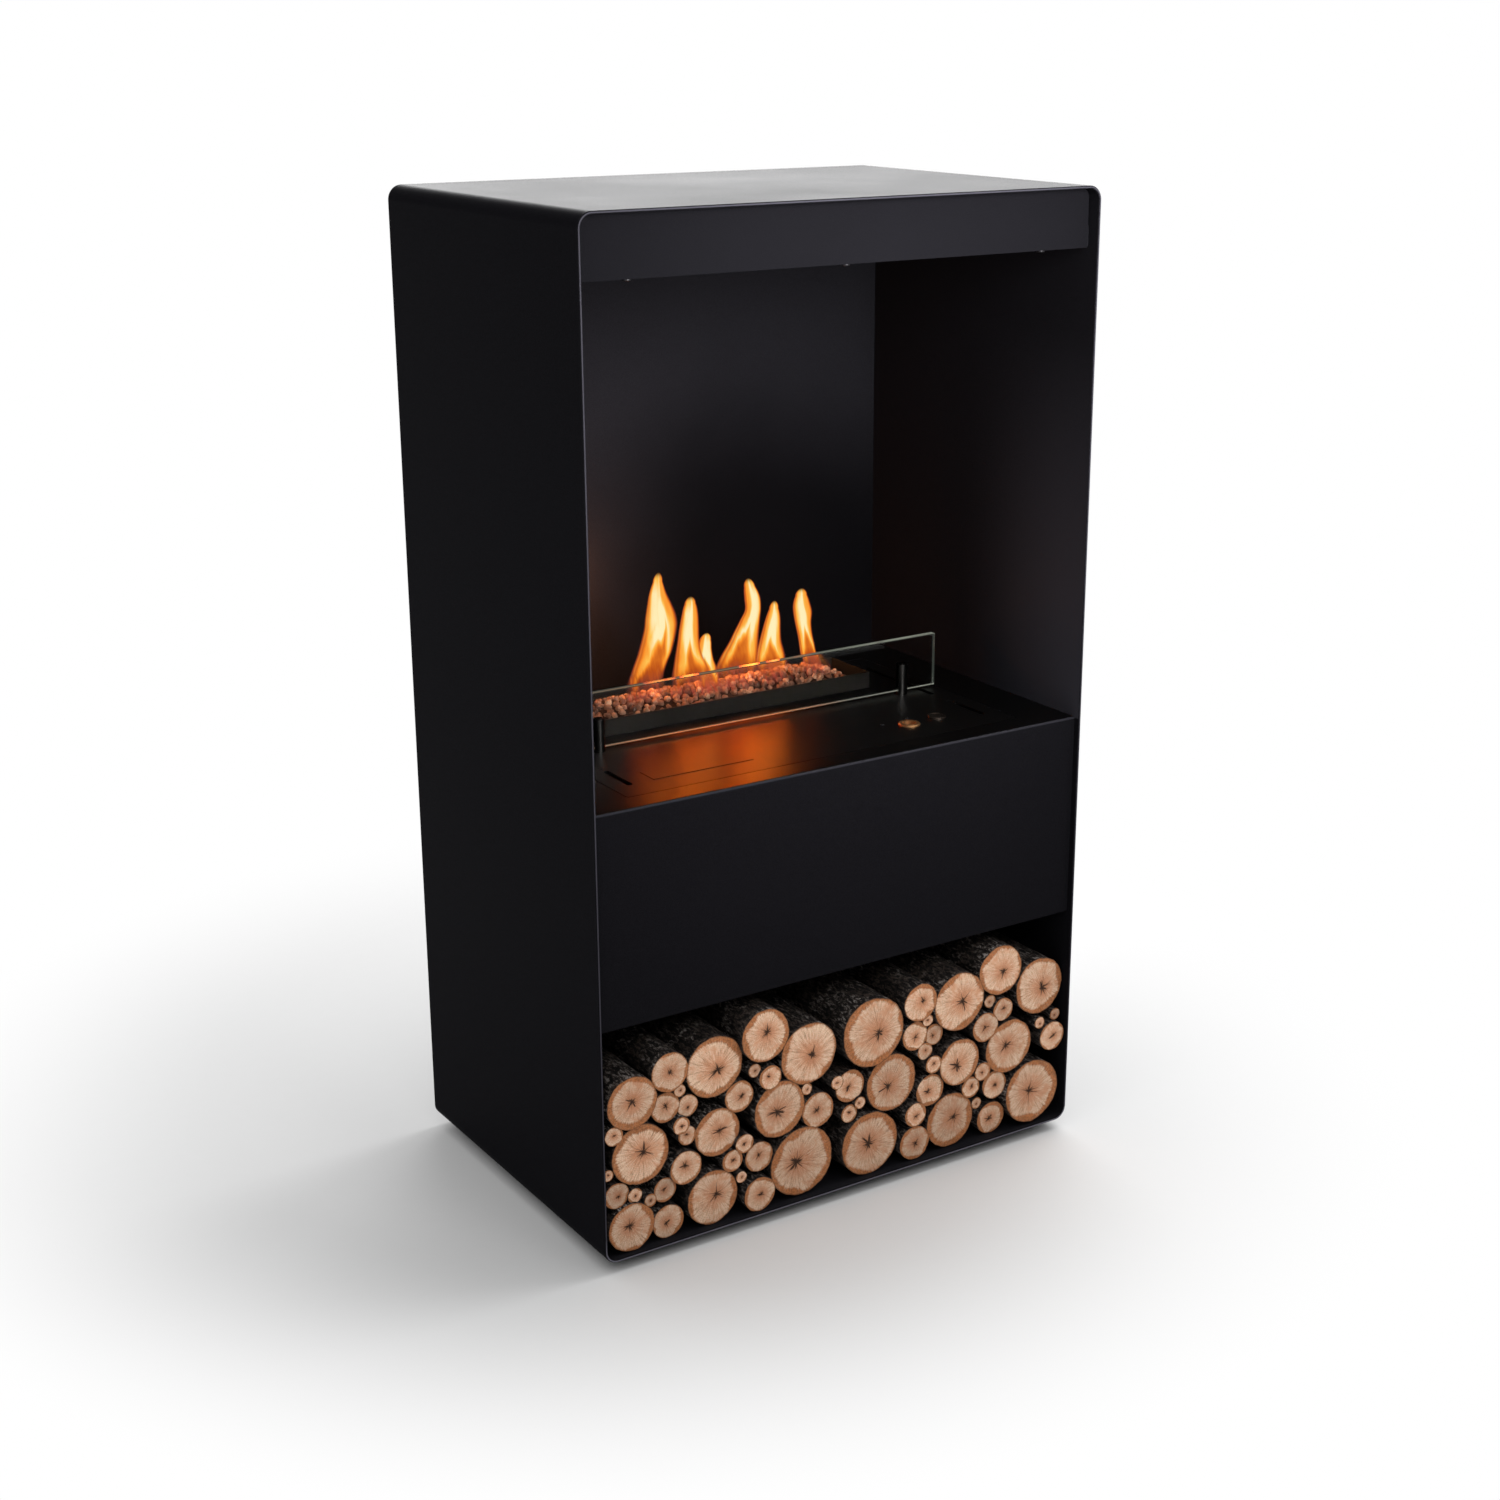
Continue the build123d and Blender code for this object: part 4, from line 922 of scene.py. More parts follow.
def gap_shade_ground(stones):
    """Near-black crumbly ground in the gaps between pebbles, a painted shade for the depth of the heap."""
    material, shader, place = new_material("Ash ground", Specular_IOR_Level=0.1)
    crumbs = noise(place, 900.0, detail=4.0, roughness=0.7)
    surface(
        shader, mixed(span(crumbs, 0.45, 0.7), stones.ash, stones.dark),
        span(crumbs, 0.3, 0.7, 0.85, 0.98), crumbs, 0.0008, 0.9,
    )
    return material


def heap_surface(name, lower, inset, rows=18, columns=60):
    """Top of the pebble heap: highest along its middle, with round shoulders."""
    low = Vector((BED_LOW[0] + inset, BED_LOW[1] + inset, 0.0))
    high = Vector((BED_HIGH[0] - inset, BED_HIGH[1] - inset, 0.0))
    shoulder = TRAY_HIGH[2] - 0.008
    crest = BED_HIGH[2] - lower
    places = []
    for j in range(rows + 1):
        across = 2.0 * j / rows - 1.0
        for i in range(columns + 1):
            along = i / columns
            rise = math.cos(across * math.pi / 2) ** 0.8 if abs(across) < 1 else 0.0
            ends = min(1.0, 9.0 * along, 9.0 * (1.0 - along))
            z = shoulder + (crest - shoulder) * rise * (0.35 + 0.65 * ends)
            x = low[0] + (high[0] - low[0]) * along
            places.append((x, low[1] + (high[1] - low[1]) * (across + 1) / 2, z))
    mesh = bpy.data.meshes.new(name)
    mesh.from_pydata(places, [], quads(rows, columns + 1, False))
    return mesh


def heap_core():
    """Closed heap under the pebbles, so that no gap between them shows the tray; its near-black ground is
    painted shade.
    """
    under_pebbles, inset = 0.0075, 0.002
    mesh = heap_surface("pebble_core", under_pebbles, inset)
    shape = bmesh.new()
    shape.from_mesh(mesh)
    made = bmesh.ops.extrude_face_region(shape, geom=shape.faces[:])
    tray_floor = BED_LOW[2] + 0.0004
    for item in made["geom"]:
        if isinstance(item, bmesh.types.BMVert):
            item.co.z = tray_floor
    bmesh.ops.recalc_face_normals(shape, faces=shape.faces[:])
    shape.to_mesh(mesh)
    shape.free()
    return mesh


# ---- Flames ----
def flowing(points, height):
    """Middle and half width of a flame at a height, on a smooth curve through its points."""
    heights = [point[0] for point in points]
    n = max(index for index, value in enumerate(heights[:-1]) if value <= height)
    t = (height - heights[n]) / (heights[n + 1] - heights[n])
    result = []
    for part in (1, 2):
        before = points[max(n - 1, 0)]
        here, there = points[n], points[n + 1]
        after = points[min(n + 2, len(points) - 1)]
        slope_here = (there[part] - before[part]) / (there[0] - before[0])
        slope_there = (after[part] - here[part]) / (after[0] - here[0])
        run = there[0] - here[0]
        result.append(
            (2 * t**3 - 3 * t**2 + 1) * here[part] + (t**3 - 2 * t**2 + t) * run * slope_here
            + (3 * t**2 - 2 * t**3) * there[part] + (t**3 - t**2) * run * slope_there
        )
    if n == len(points) - 2:
        result[1] = points[n][2] * (1.0 - t * t) ** 0.7
    return result[0], max(result[1], 0.0002)


def flame_mesh(name, points, flames, middle_y, seed, side_of_core, in_gloss, dim, closed, sides=40, rows=64):
    """Flame sheet, oval in section or its front half only, with what its material needs to know."""
    random.seed(seed)
    phase = random.random() * math.tau
    low, high = points[0][0], points[-1][0]
    count = sides if closed else sides // 2 + 1
    places, marks = [], []
    for row in range(rows + 1):
        up = 1.0 - (1.0 - row / rows) ** 1.25
        height = low + (high - low) * min(up, 0.9999)
        middle, half = flowing(points, height)
        half *= 1.10
        depth = max(half, 0.0012) * flames.thickness * (1.2 - 0.5 * up)
        forward = flames.lean * (1.0 - up) ** 2.5
        drift = 0.003 * math.sin(5.0 * up + phase) * up - forward
        top = height + FORWARD_TO_UP * forward
        for side in range(count):
            angle = math.pi + math.tau * side / sides
            across = math.cos(angle)
            x = middle + half * across - FORWARD_TO_LEFT * forward
            places.append((x, middle_y + drift + depth * math.sin(angle), top))
            marks.append((across, up, seed * 1.0))
    faces = quads(rows, count, closed)
    if closed:
        faces.append(tuple(reversed(range(count))))
        faces.append(tuple(range(rows * count, (rows + 1) * count)))
    same = {"flame_dim": dim, "core_side": side_of_core, "in_gloss": in_gloss}
    mesh = point_mesh(
        name, places, flame_place=marks, **{label: [value] * len(places) for label, value in same.items()}
    )
    built = bmesh.new()
    built.from_mesh(mesh)
    built.verts.ensure_lookup_table()
    for face in faces:
        built.faces.new([built.verts[index] for index in face]).smooth = True
    if closed:
        bmesh.ops.recalc_face_normals(built, faces=built.faces[:])
    built.to_mesh(mesh)
    built.free()
    return mesh


def flame_material(flames):
    """Glowing sheet: a dark amber wedge rises between bright sides, that meet in a hot upper core."""
    material, shader, place = new_material(
        "Flame", Base_Color=(0.0, 0.0, 0.0, 1.0), Roughness=1.0, Specular_IOR_Level=0.0, Emission_Strength=1.0
    )
    across, up, seed = axes(attribute(place.tree, "flame_place", "Vector"))
    dim = attribute(place.tree, "flame_dim")
    own = grey(seed)
    flow = noise(place * (75.0, 40.0, 16.0) + own, detail=2.0)
    lick = noise(place * (260.0, 120.0, 24.0) + own, detail=3.0, roughness=0.6)
    swayed = across + (flow - 0.5) * 0.8
    core_side = attribute(place.tree, "core_side")
    gap = abs(swayed + core_side * 0.35) - span(up, 0.1, 0.82, 0.86, -0.14)
    inside = span(gap, 0.05, -0.3, smooth=True)
    ridge = calc("SUBTRACT", 1.0, abs(gap) * 2.6, clamp=True) * span(up, 0.15, 0.55, 0.04, 0.3)
    from_core = abs(swayed - core_side)
    core = span(from_core, 0.85, 0.12, smooth=True) * span(up, 0.4, 0.66, smooth=True)
    core = core * span(up, 1.0, 0.84, 0.08, 0.3)
    heat = ridge + core + 0.66 - inside * 0.2 + (lick - 0.5) * 0.17
    heat = heat * span(up, 0.06, 0.34, 0.44, 1.0)
    heat = heat * span(abs(across), 1.0, 0.62, 0.36, 1.0, smooth=True)
    heat = heat * (1.0 - dim * 0.42)
    glow = ramp(
        heat, (0.0, (0.03, 0.003, 0.001)), (0.2, flames.red), (0.4, flames.amber), (0.6, flames.orange),
        (0.8, flames.yellow), (0.98, flames.white),
    )
    # Painted reflection: to mirror rays each flame shines tinted and at its own strength, mostly several
    # times stronger, to paint its glow in the lid's dark gloss.
    path = Node(place.tree, "ShaderNodeLightPath")
    mirrored = path["Glossy Depth"] > 0.5
    tinted = mixed(1.0, glow, flames.mirrored, "MULTIPLY")
    feed(shader["Emission Color"], mixed(mirrored, glow, tinted))
    feed(shader["Emission Strength"], 1.0 + mirrored * (attribute(place.tree, "in_gloss") - 1.0))
    hem = span(abs(across), 1.0, 0.78, smooth=True)
    root = span(up, 0.0, 0.09, 0.0, 1.0, smooth=True)
    tip = span(up, 1.0, 0.93, smooth=True)
    body = span(heat, 0.06, 0.42, 0.4, 0.97)
    veil = hem * root * (tip * body)
    strand = span(lick, 0.47, 0.62, 0.08, 0.8, smooth=True)
    low_down = greatest(span(up, 0.3, 0.14), dim * 0.8)
    veil = veil * (low_down * (strand - 1.0) + 1.0)
    feed(shader["Alpha"], veil * span(dim, 0.0, 1.0, 1.0, 0.32))
    return material


# ---- Fasteners ----
def screw_head_mesh(sides, socket, radius, height):
    """Cap head with a rounded rim and a hexagon socket, its bearing face at the origin, axis +Z."""
    inner = radius * socket / 2
    outline = [
        (radius, 0.0), (radius, height * 0.55), (radius * 0.94, height * 0.80),
        (radius * 0.82, height * 0.94), (radius * 0.66, height),
    ]
    places = []
    for ring_radius, z in outline:
        for n in range(sides):
            angle = math.tau * n / sides
            places.append((ring_radius * math.cos(angle), ring_radius * math.sin(angle), z))
    for ring_z in (height, height * 0.35):
        for n in range(sides):
            angle = math.tau * n / sides
            corner = (angle + math.pi / 6) % (math.pi / 3) - math.pi / 6
            reach = inner / math.cos(corner)
            places.append((reach * math.cos(angle), reach * math.sin(angle), ring_z))
    rings = len(places) // sides
    faces = quads(rings - 1, sides, True)
    faces.append(tuple(range((rings - 1) * sides, rings * sides)))
    faces.append(tuple(reversed(range(sides))))
    mesh = bpy.data.meshes.new("screw_head")
    mesh.from_pydata(places, [], faces)
    return mesh


def screw_tree():
    """One screw head on each point, turned along the point's own axis."""
    inputs = {"Places": "Geometry", "Head": "Object", "Blackened steel": "Material"}
    tree, given, made = node_group("Screws", inputs, {"Screws": "Geometry"}, "GeometryNodeTree")
    head = Node(tree, "GeometryNodeObjectInfo", {"Object": given["Head"]})["Geometry"]
    turn = named(tree, "turn", "FLOAT_VECTOR")
    real = step(step(given["Places"], "InstanceOnPoints", Instance=head, Rotation=turn), "RealizeInstances")
    feed(made["Screws"], step(real, "SetMaterial", Material=given["Blackened steel"]))
    return tree


def screw_heads(name, node, mesh, axis, side, tilt, height, material, tree):
    """Detailed heads in the places of a CAD node's screws, one head's height under their outer end."""
    head = added(name + "_head", mesh)
    places = []
    for low, high in solid_boxes(node):
        place = [(a + b) / 2 for a, b in zip(low, high)]
        place[axis] = high[axis] - height if side > 0 else low[axis] + height
        places.append(place)
    points = point_mesh(name + "_places", places, turn=[(tilt, 0.0, 0.0)] * len(places))
    piece = grown(name, points, tree, Head=head, Blackened_steel=material)
    bpy.data.objects.remove(head)
    return piece


# ---- Operators ----
class FIREPLACE_OT_dress_cabinet(bpy.types.Operator):
    """Powder coat, heat-proof coat, zinc and rubber on the cabinet's sheet parts"""

    bl_idname = "fireplace.dress_cabinet"
    bl_label = "Dress the cabinet"

    def execute(self, context):
        look = context.scene.fireplace_cabinet
        for effect in (powder_grain, fine_scratches, settled_dust):
            effect()
        values = (look.coat_dark, look.coat_light, look.coat_roughness, look.coat_gloss, look.coat_grain)
        # The sleeve's coat: faces that look up take the lighter peak colour and more gloss than the sides, a
        # painted brighter top; the front rim carries a painted highlight and the chamber's side walls painted
        # light.
        coat = coated_steel(
            "Powder coat", *values, bare=front_rim_highlight, top=(look.coat_light, look.top_gloss), inner=side_wall_light
        )
        burner = context.scene.fireplace_burner
        # The shelf's coat carries a painted highlight on its bend.
        shelf_coat = coated_steel(
            "Shelf coat", *values, dust=0.003, bare=shelf_bend_highlight, top=(burner.paint_dark, burner.paint_gloss)
        )
        # Lighter colours that paint light into the chamber, for its back panel and the heat-proof coat.
        chamber = (look.chamber_dark, look.chamber_light)
        heat_coat = coated_steel(
            "Heat-proof coat", *chamber, look.coat_roughness + 0.10, look.coat_gloss, look.coat_grain
        )
        # Centre of the soot and painted shade on the chamber's back panel, low over the burner.
        soot_and_shade_middle = (0.16, BED_HIGH[1], BED_HIGH[2] + 0.06)
        chamber_coat = coated_steel(
            "Chamber coat", *chamber, look.coat_roughness, look.coat_gloss, look.coat_grain, soot=soot_and_shade_middle
        )
        finish(coat, "outer_sleeve", "lintel_panel")
        finish(shelf_coat, "burner_shelf")
        finish(chamber_coat, "back_panel")
        finish(heat_coat, "ceiling_plate", "niche_ceiling")
        finish(
            zinc_plate("Zinc plate", look.zinc),
            "support_frame", "shelf_angle_left", "shelf_angle_right", "rear_bottom_angle",
            "burner_tub", "lid_brackets", "fuel_tank", "fill_pipe",
        )
        finish(moulded("Rubber", look.rubber, 0.62, gloss=0.3), "rubber_feet", "cable_grommet", "glass_pads")
        bright = metal("Bright steel", look.zinc, 0.26, (1.0, 1.0, 6.0), dimmed(look.zinc, 0.5))
        finish(bright, "foot_screws")
        return {"FINISHED"}


class FIREPLACE_OT_dress_burner(bpy.types.Operator):
    """Satin paint, copper, stainless steel, ceramic, plastic and lenses on the burner"""

    bl_idname = "fireplace.dress_burner"
    bl_label = "Dress the burner"

    def execute(self, context):
        look = context.scene.fireplace_burner
        paint = coated_steel(
            "Burner paint", look.paint_dark, look.paint_light, look.paint_roughness, look.paint_gloss,
            0.0006, 0.00004, 0.002,
        )
        finish(paint, "burner_lid", "label_plate")
        tray = coated_steel("Tray coat", look.tray_dark, look.tray_light, 0.55, 0.10, 0.0008, 0.00008, 0.01)
        finish(tray, "fire_tray")
        posts = metal("Post steel", look.post_steel, 0.14, (1.0, 1.0, 0.05), dimmed(look.post_steel, 0.5))
        finish(posts, "glass_post_left", "glass_post_right")
        steel = metal("Stainless steel", look.stainless, 0.22, (0.05, 1.0, 1.0), dimmed(look.stainless, 0.6))
        finish(steel, "combustion_trough", "flame_sensor", "valve_guide", "fuel_line")
        ring = metal("Copper ring", look.copper, 0.36, (1.0, 1.0, 0.2), dimmed(look.copper, 0.55), 0.000006)
        finish(ring, "inlet_ring")
        brass = metal("Valve brass", (0.15, 0.085, 0.050), 0.34, (1.0, 1.0, 0.2), look.plastic)
        finish(brass, "valve_poppet")
        bezel = metal("Dark bezel", (0.17, 0.13, 0.105), 0.30, (1.0, 1.0, 0.3), (0.09, 0.070, 0.06), 0.00001)
        finish(bezel, "button_bezel", "button_cap")
        finish(ceramic_fibre("Ceramic", look.ceramic), "wick_strip", "igniter_rod")
        finish(
            moulded("Black plastic", look.plastic, 0.45),
            "button_switch", "control_box", "power_socket", "fuel_pump",
        )
        finish(lens_material("Smoked lens", look.lens), "status_lens", "level_lens")
        finish(bezel, "post_screws")
        return {"FINISHED"}


class FIREPLACE_OT_dress_glass(bpy.types.Operator):
    """Clear pane with green ground edges that carry a painted glow"""

    bl_idname = "fireplace.dress_glass"
    bl_label = "Dress the glass"

    def execute(self, context):
        look = context.scene.fireplace_glass
        material, shader, place = new_material(
            "Screen glass", Transmission_Weight=1.0, IOR=1.48, Specular_IOR_Level=0.10,
            Specular_Tint=(0.10, 0.10, 0.10, 1.0),
        )
        _, faced, lying = axes(Node(place.tree, "ShaderNodeNewGeometry")["Normal"])
        edge = span(abs(faced), 0.9, 0.5)
        smears = noise(place * (22.0, 22.0, 70.0), detail=4.0, roughness=0.65)
        feed(shader["Base Color"], mixed(edge, look.pane, look.edge))
        # Painted glow on the pane's edges: brighter on the upper and lower edges and towards the right end,
        # and warm where the lower edge lies near the flames.
        fire_to_left = 0.045
        near_fire = span(abs(axes(place)[0] + fire_to_left), 0.17, 0.08)
        low = axes(place)[2] < BED_LOW[2] + 0.01
        level = span(abs(lying), 0.5, 0.9)
        open_end = span(axes(place)[0], 0.05, 0.2, 1.0, 2.4)
        top_light = mixed(1.0, look.top_light, grey(open_end), "MULTIPLY")
        lit = mixed(level, look.edge_light, top_light)
        lit = mixed(near_fire * low, lit, look.fire_light)
        feed(shader["Emission Color"], mixed(edge, (0.0, 0.0, 0.0), lit))
        shader["Emission Strength"].default_value = 1.0
        feed(shader["Roughness"], span(smears, 0.5, 0.8, 0.0, 0.035) + edge * 0.06)
        finish(material, "glass_screen")
        return {"FINISHED"}


class FIREPLACE_OT_make_firewood(bpy.types.Operator):
    """Logs with bark and sawn ends in the places of the CAD logs"""

    bl_idname = "fireplace.make_firewood"
    bl_label = "Make the firewood"

    def execute(self, context):
        wood = context.scene.fireplace_wood
        tree = firewood_tree()
        bark, sawn = log_bark(wood), sawn_wood(wood)
        chance = random.Random(wood.seed)
        # Sides, rows along a log and rings on its ends.
        detail = {
            "logs_thick": (96, 40, 10), "logs_middle": (56, 30, 6), "logs_thin": (36, 24, 4),
            "sticks": (28, 20, 3),
        }
        swell = self.room_to_swell(detail, wood.squeeze)
        for node, (sides, rows, rings) in detail.items():
            boxes = solid_boxes(node)
            centres = [(low + high) / 2 for low, high in boxes]
            radii = [(high.x - low.x) / 2 + swell[node][n] for n, (low, high) in enumerate(boxes)]
            stray = 0.0015 if node == "sticks" else 0.0042
            centres = [centre + Vector((0.0, chance.uniform(-stray, stray), 0.0)) for centre in centres]
            points = point_mesh(
                node + "_places", centres, centre=centres, radius=radii,
                turn=[chance.uniform(0.0, math.tau) for centre in centres],
                seed=[chance.uniform(0.0, 40.0) for centre in centres],
            )
            piece = grown(
                "firewood_" + node, points, tree, Sides=sides, Rows=rows, Rings=rings,
                Length=boxes[0][1].y - boxes[0][0].y, Out_of_round=wood.out_of_round,
                Furrow_depth=wood.furrow_depth, Saw_marks=wood.saw_marks, Bark=bark, Sawn_wood=sawn,
            )
            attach(piece, "cabinet")
            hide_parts(node)
        return {"FINISHED"}

    def room_to_swell(self, nodes, squeeze, most=0.12):
        """How far each log's radius may grow until its bark presses into a neighbour or the cabinet."""
        logs = [
            (node, n, (low.x + high.x) / 2, (low.z + high.z) / 2, (high.x - low.x) / 2)
            for node in nodes for n, (low, high) in enumerate(solid_boxes(node))
        ]
        room = {node: [] for node in nodes}
        side, base = SLEEVE_HIGH[0] - SHEET, SLEEVE_LOW[2] + SHEET
        for node, n, x, z, radius in logs:
            gaps = [
                (math.hypot(x - other_x, z - other_z) - radius - other_radius) / 2
                for other, m, other_x, other_z, other_radius in logs if (other, m) != (node, n)
            ]
            walls = (side - abs(x) - radius, z - base - radius)
            room[node].append(max(0.0, min(min(gaps) + squeeze, *walls, most * radius)))
        return room


class FIREPLACE_OT_make_pebbles(bpy.types.Operator):
    """Loose ceramic pebbles heaped in the fire tray"""

    bl_idname = "fireplace.make_pebbles"
    bl_label = "Make the pebbles"

    def execute(self, context):
        look = context.scene.fireplace_pebbles
        stone = pebble_stone(look)
        heap = heap_surface("pebble_heap", look.size / 2, look.size * 0.4)
        pebbles = grown(
            "pebbles", heap, pebble_tree(), Size=look.size, Spacing=look.spacing, Seed=look.seed, Stone=stone
        )
        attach(pebbles, "burner")
        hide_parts("pebble_bed")
        core = placed("pebble_core", heap_core())
        core.data.materials.append(gap_shade_ground(look))
        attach(core, "burner")
        return {"FINISHED"}


class FIREPLACE_OT_make_flames(bpy.types.Operator):
    """Flames over the burner line, and the warm light that they throw"""

    bl_idname = "fireplace.make_flames"
    bl_label = "Make the flames"

    def execute(self, context):
        look = context.scene.fireplace_flames
        material = flame_material(look)
        middle_y = (TRAY_LOW[1] + TRAY_HIGH[1]) / 2
        sheets = [
            (name, points, seed, CORE_SIDE[name], PAINTED_REFLECTION[name], 0.0, True)
            for seed, (name, points) in enumerate(FLAMES.items())
        ]
        sheets += [
            ("wisp_" + name, points, seed + 10.0, 0.0, WISP_PAINTED_REFLECTION, 1.0, False)
            for seed, (name, points) in enumerate(WISPS.items())
        ]
        for name, points, *values in sheets:
            mesh = flame_mesh("flame_" + name, points, look, middle_y, *values)
            piece = placed(mesh.name, mesh)
            piece.data.materials.append(material)
            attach(piece, "burner")
        full_height, panel_share = 0.12, 6.0
        glows = []
        for name, points in FLAMES.items():
            height = points[-1][0] - points[0][0]
            place = (points[2][1], middle_y, points[2][0])
            glows.append((name, place, look.glow * height / full_height))
        glows.append(("on_panel", (-0.14, TRAY_HIGH[1] + 0.032, 0.62), panel_share * look.glow))
        for name, place, energy in glows:
            lamp = bpy.data.lights.new("glow_" + name, "POINT")
            lamp.energy = energy
            lamp.color = FIRE_COLOUR
            lamp.shadow_soft_size = 0.02
            glow = added(lamp.name, lamp)
            glow.location = place
            glow.visible_camera = glow.visible_glossy = glow.visible_transmission = False
        return {"FINISHED"}


class FIREPLACE_OT_make_screws(bpy.types.Operator):
    """Cap heads with hexagon sockets on the visible screws"""

    bl_idname = "fireplace.make_screws"
    bl_label = "Make the screw heads"

    def execute(self, context):
        look = context.scene.fireplace_fasteners
        steel = metal("Blackened steel", look.steel, 0.34, (1.0, 1.0, 1.0), dimmed(look.steel, 1.8))
        tree = screw_tree()
        # Name, CAD node, axis and side that the heads look to, tilt, body, radius and height of a head.
        rows = (
            ("rear_screws", "back_panel_screws", 1, 1, -math.pi / 2, "cabinet", 0.0045, 0.0025),
            ("lintel_screws", "ceiling_screws", 2, -1, math.pi, "cabinet", 0.0045, 0.0025),
            ("deck_screws", "lid_screws", 2, 1, 0.0, "burner", 0.0040, 0.0015),
        )
        for name, node, axis, side, tilt, body, radius, height in rows:
            mesh = screw_head_mesh(look.sides, look.socket, radius, height)
            piece = screw_heads(name, node, mesh, axis, side, tilt, height, steel, tree)
            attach(piece, body)
            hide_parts(node)
        return {"FINISHED"}


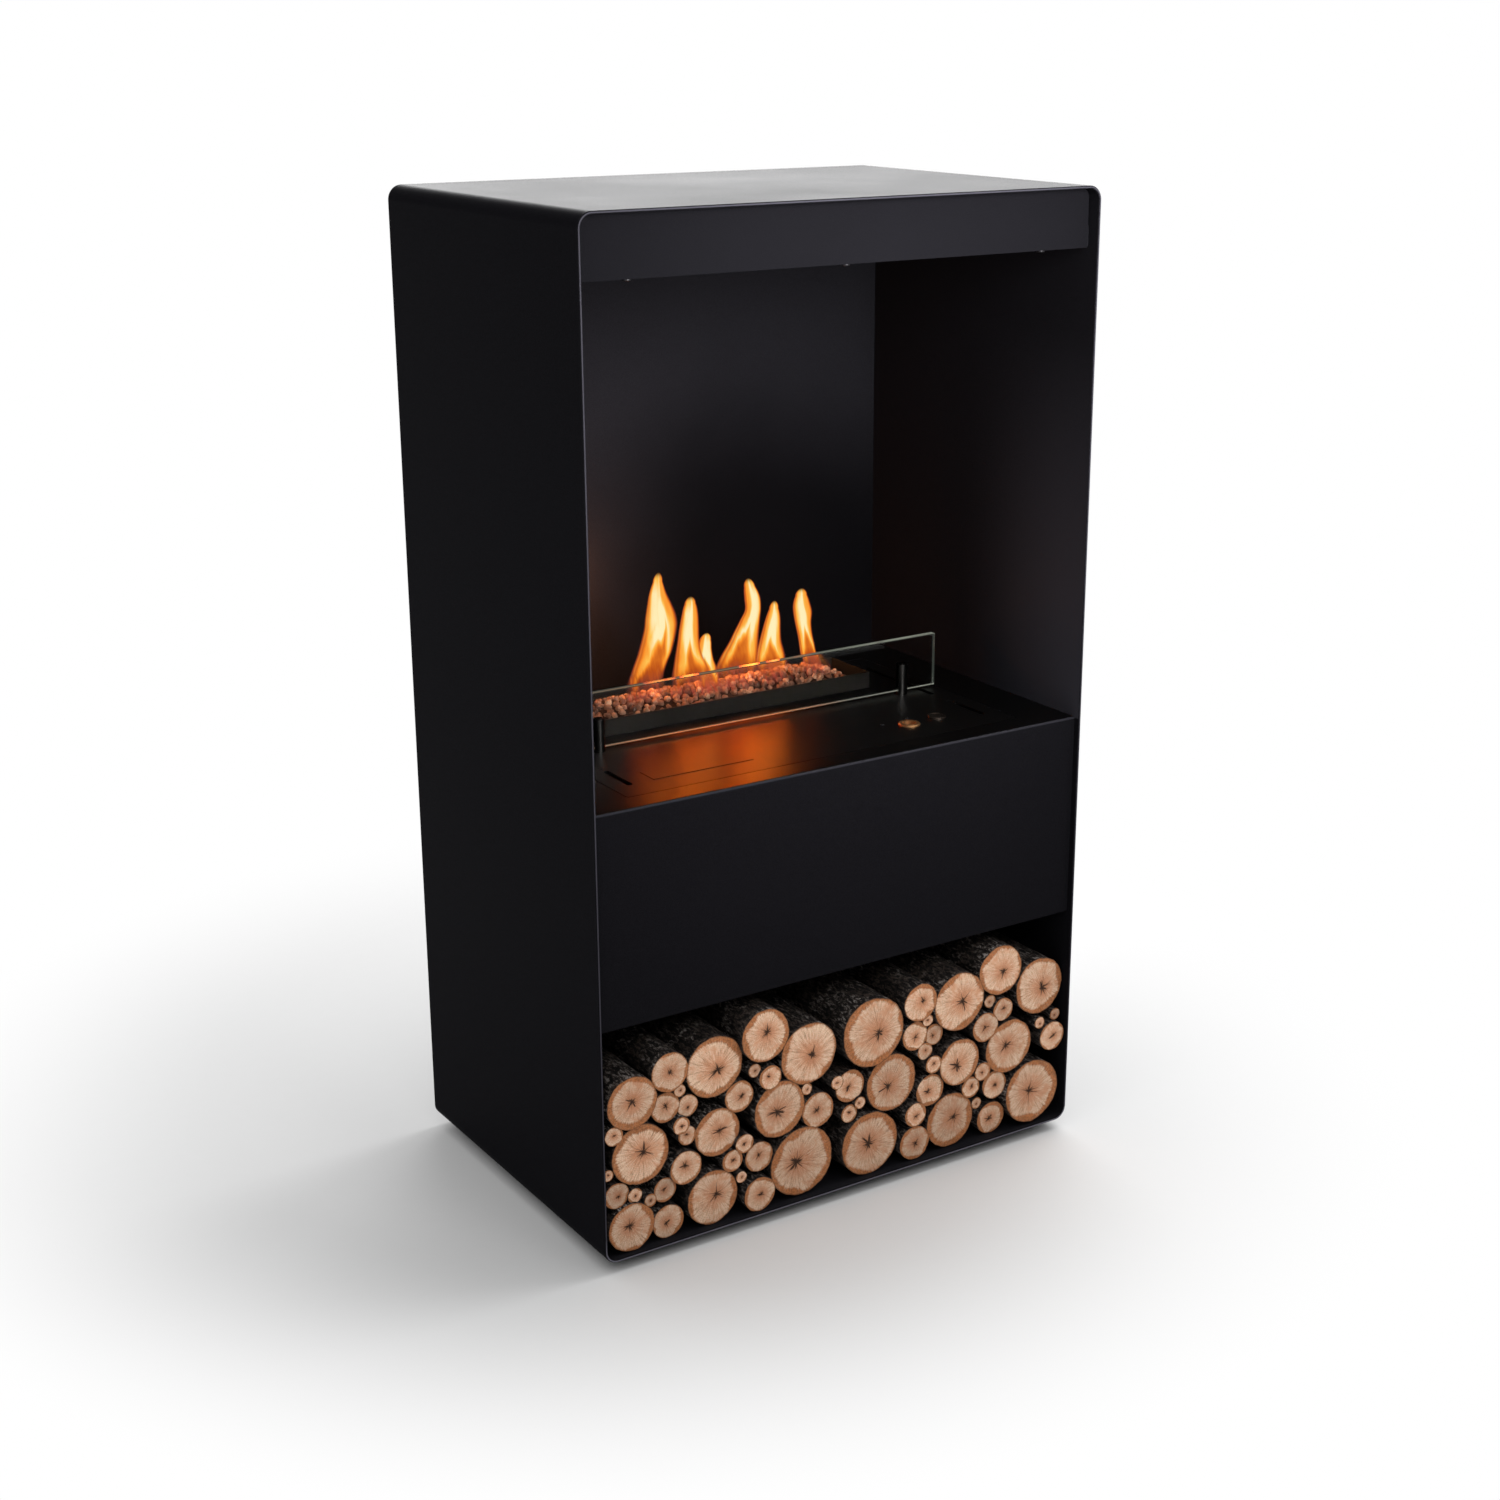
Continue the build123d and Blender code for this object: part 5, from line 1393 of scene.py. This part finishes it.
class FIREPLACE_OT_set_stage(bpy.types.Operator):
    """Pale floor, soft studio light and the camera"""

    bl_idname = "fireplace.set_stage"
    bl_label = "Set the stage"

    def execute(self, context):
        look = context.scene.fireplace_stage
        scene = context.scene
        scene.view_settings.view_transform = "Standard"
        camera_data = bpy.data.cameras.new("camera")
        camera_data.lens = look.camera_lens
        camera_data.sensor_width = 36.0
        camera_data.shift_x, camera_data.shift_y = CAMERA_SHIFT
        camera = added("camera", camera_data)
        camera.location = look.camera_place
        camera.rotation_euler = look.camera_turn
        scene.camera = camera

        floor_mesh = bpy.data.meshes.new("floor")
        reach = 30.0
        corners = [(-reach, -reach, 0.0), (reach, -reach, 0.0), (reach, reach, 0.0), (-reach, reach, 0.0)]
        floor_mesh.from_pydata(corners, [], [(0, 1, 2, 3)])
        floor = added("floor", floor_mesh)
        floor.data.materials.append(self.floor_material(look))
        self.light(scene, look)
        return {"FINISHED"}

    def floor_material(self, look):
        """Matt floor that turns to plain white away from the object, for the camera and mirror rays."""
        material = bpy.data.materials.new("Floor")
        material.use_nodes = True
        tree = material.node_tree
        tree.nodes.clear()
        place = Node(tree, "ShaderNodeTexCoord")["Object"]
        speckle = noise(place, 60.0, detail=3.0)
        tone = mixed(speckle, look.floor, dimmed(look.floor, 0.985))
        matt = Node(tree, "ShaderNodeBsdfDiffuse", {"Color": tone, "Roughness": 0.0})
        white = Node(tree, "ShaderNodeEmission", {"Color": WHITE, "Strength": 1.0})
        path = Node(tree, "ShaderNodeLightPath")
        seen = greatest(path["Is Camera Ray"], path["Is Glossy Ray"], path["Is Transmission Ray"])
        away = vcalc("DISTANCE", place, FLOOR_MIDDLE)
        far = span(away, look.floor_reach * 0.55, look.floor_reach, smooth=True)
        blend = Node(tree, "ShaderNodeMixShader", {0: seen * far, 1: matt[0], 2: white[0]})
        Node(tree, "ShaderNodeOutputMaterial", {"Surface": blend[0]})
        return material

    def light(self, scene, look):
        """White surroundings for the camera, softer ones for the light, and three soft lamps."""
        world = bpy.data.worlds.new("studio")
        scene.world = world
        world.use_nodes = True
        tree = world.node_tree
        tree.nodes.clear()
        path = Node(tree, "ShaderNodeLightPath")
        toward = Node(tree, "ShaderNodeTexCoord")["Generated"]
        bright_side = (0.74, 0.66, 0.12)
        mirrored = span(vcalc("DOT_PRODUCT", toward, bright_side), 0.35, 0.8, look.shade, 1.0, smooth=True)
        clear = greatest(path["Is Camera Ray"], path["Is Transmission Ray"])
        strength = greatest(clear, path["Is Glossy Ray"] * mirrored)
        any_of = greatest(clear, path["Is Glossy Ray"])
        above = span(axes(toward)[2], 0.05, 0.85, 0.02, 1.0, smooth=True)
        even = (1.0 - any_of) * (above * look.fill)
        background = Node(tree, "ShaderNodeBackground", {"Color": WHITE, "Strength": strength + even})
        Node(tree, "ShaderNodeOutputWorld", {"Surface": background[0]})
        # Name, power, place, target, width and spread in degrees.
        lamps = (
            ("key", look.key, (1.45, 0.0, 2.6), (0.0, 0.0, 0.4), 2.0, 180.0),
            ("front", look.front, (0.07, -0.95, 1.12), (0.05, -0.19, 0.95), 0.6, 78.0),
            ("rim", look.rim, (1.65, 2.75, 1.35), (0.0, 0.0, 1.0), 2.4, 180.0),
        )
        for name, energy, place, target, size, spread in lamps:
            data = bpy.data.lights.new(name, "AREA")
            data.energy = energy
            data.shape = "DISK"
            data.size = size
            data.spread = math.radians(spread)
            lamp = added(name, data)
            lamp.location = place
            lamp.rotation_euler = (Vector(target) - Vector(place)).to_track_quat("-Z", "Y").to_euler()
            lamp.visible_camera = False


class FIREPLACE_PT_panel(bpy.types.Panel):
    """Lists the steps and the values of the fireplace"""

    bl_label = "Fireplace"
    bl_idname = "FIREPLACE_PT_panel"
    bl_space_type = "VIEW_3D"
    bl_region_type = "UI"
    bl_category = "Fireplace"

    def draw(self, context):
        for operator, name, group in STEPS:
            box = self.layout.box()
            box.operator(operator.bl_idname)
            for value in group.__annotations__:
                box.prop(getattr(context.scene, name), value)


# Each step, the name of its values on the scene and their kind.
STEPS = (
    (FIREPLACE_OT_dress_cabinet, "fireplace_cabinet", CabinetFinish),
    (FIREPLACE_OT_dress_burner, "fireplace_burner", BurnerFinish),
    (FIREPLACE_OT_dress_glass, "fireplace_glass", GlassFinish),
    (FIREPLACE_OT_make_firewood, "fireplace_wood", Firewood),
    (FIREPLACE_OT_make_pebbles, "fireplace_pebbles", Pebbles),
    (FIREPLACE_OT_make_flames, "fireplace_flames", Flames),
    (FIREPLACE_OT_make_screws, "fireplace_fasteners", Fasteners),
    (FIREPLACE_OT_set_stage, "fireplace_stage", Stage),
)


def register():
    for operator, name, group in STEPS:
        bpy.utils.register_class(group)
        setattr(bpy.types.Scene, name, bpy.props.PointerProperty(type=group))
        bpy.utils.register_class(operator)
    bpy.utils.register_class(FIREPLACE_PT_panel)


def unregister():
    bpy.utils.unregister_class(FIREPLACE_PT_panel)
    for operator, name, group in reversed(STEPS):
        bpy.utils.unregister_class(operator)
        delattr(bpy.types.Scene, name)
        bpy.utils.unregister_class(group)


def main():
    register()
    bpy.ops.fireplace.dress_cabinet()
    bpy.ops.fireplace.dress_burner()
    bpy.ops.fireplace.dress_glass()
    bpy.ops.fireplace.make_firewood()
    bpy.ops.fireplace.make_pebbles()
    bpy.ops.fireplace.make_flames()
    bpy.ops.fireplace.make_screws()
    bpy.ops.fireplace.set_stage()


if __name__ == "__main__":
    main()
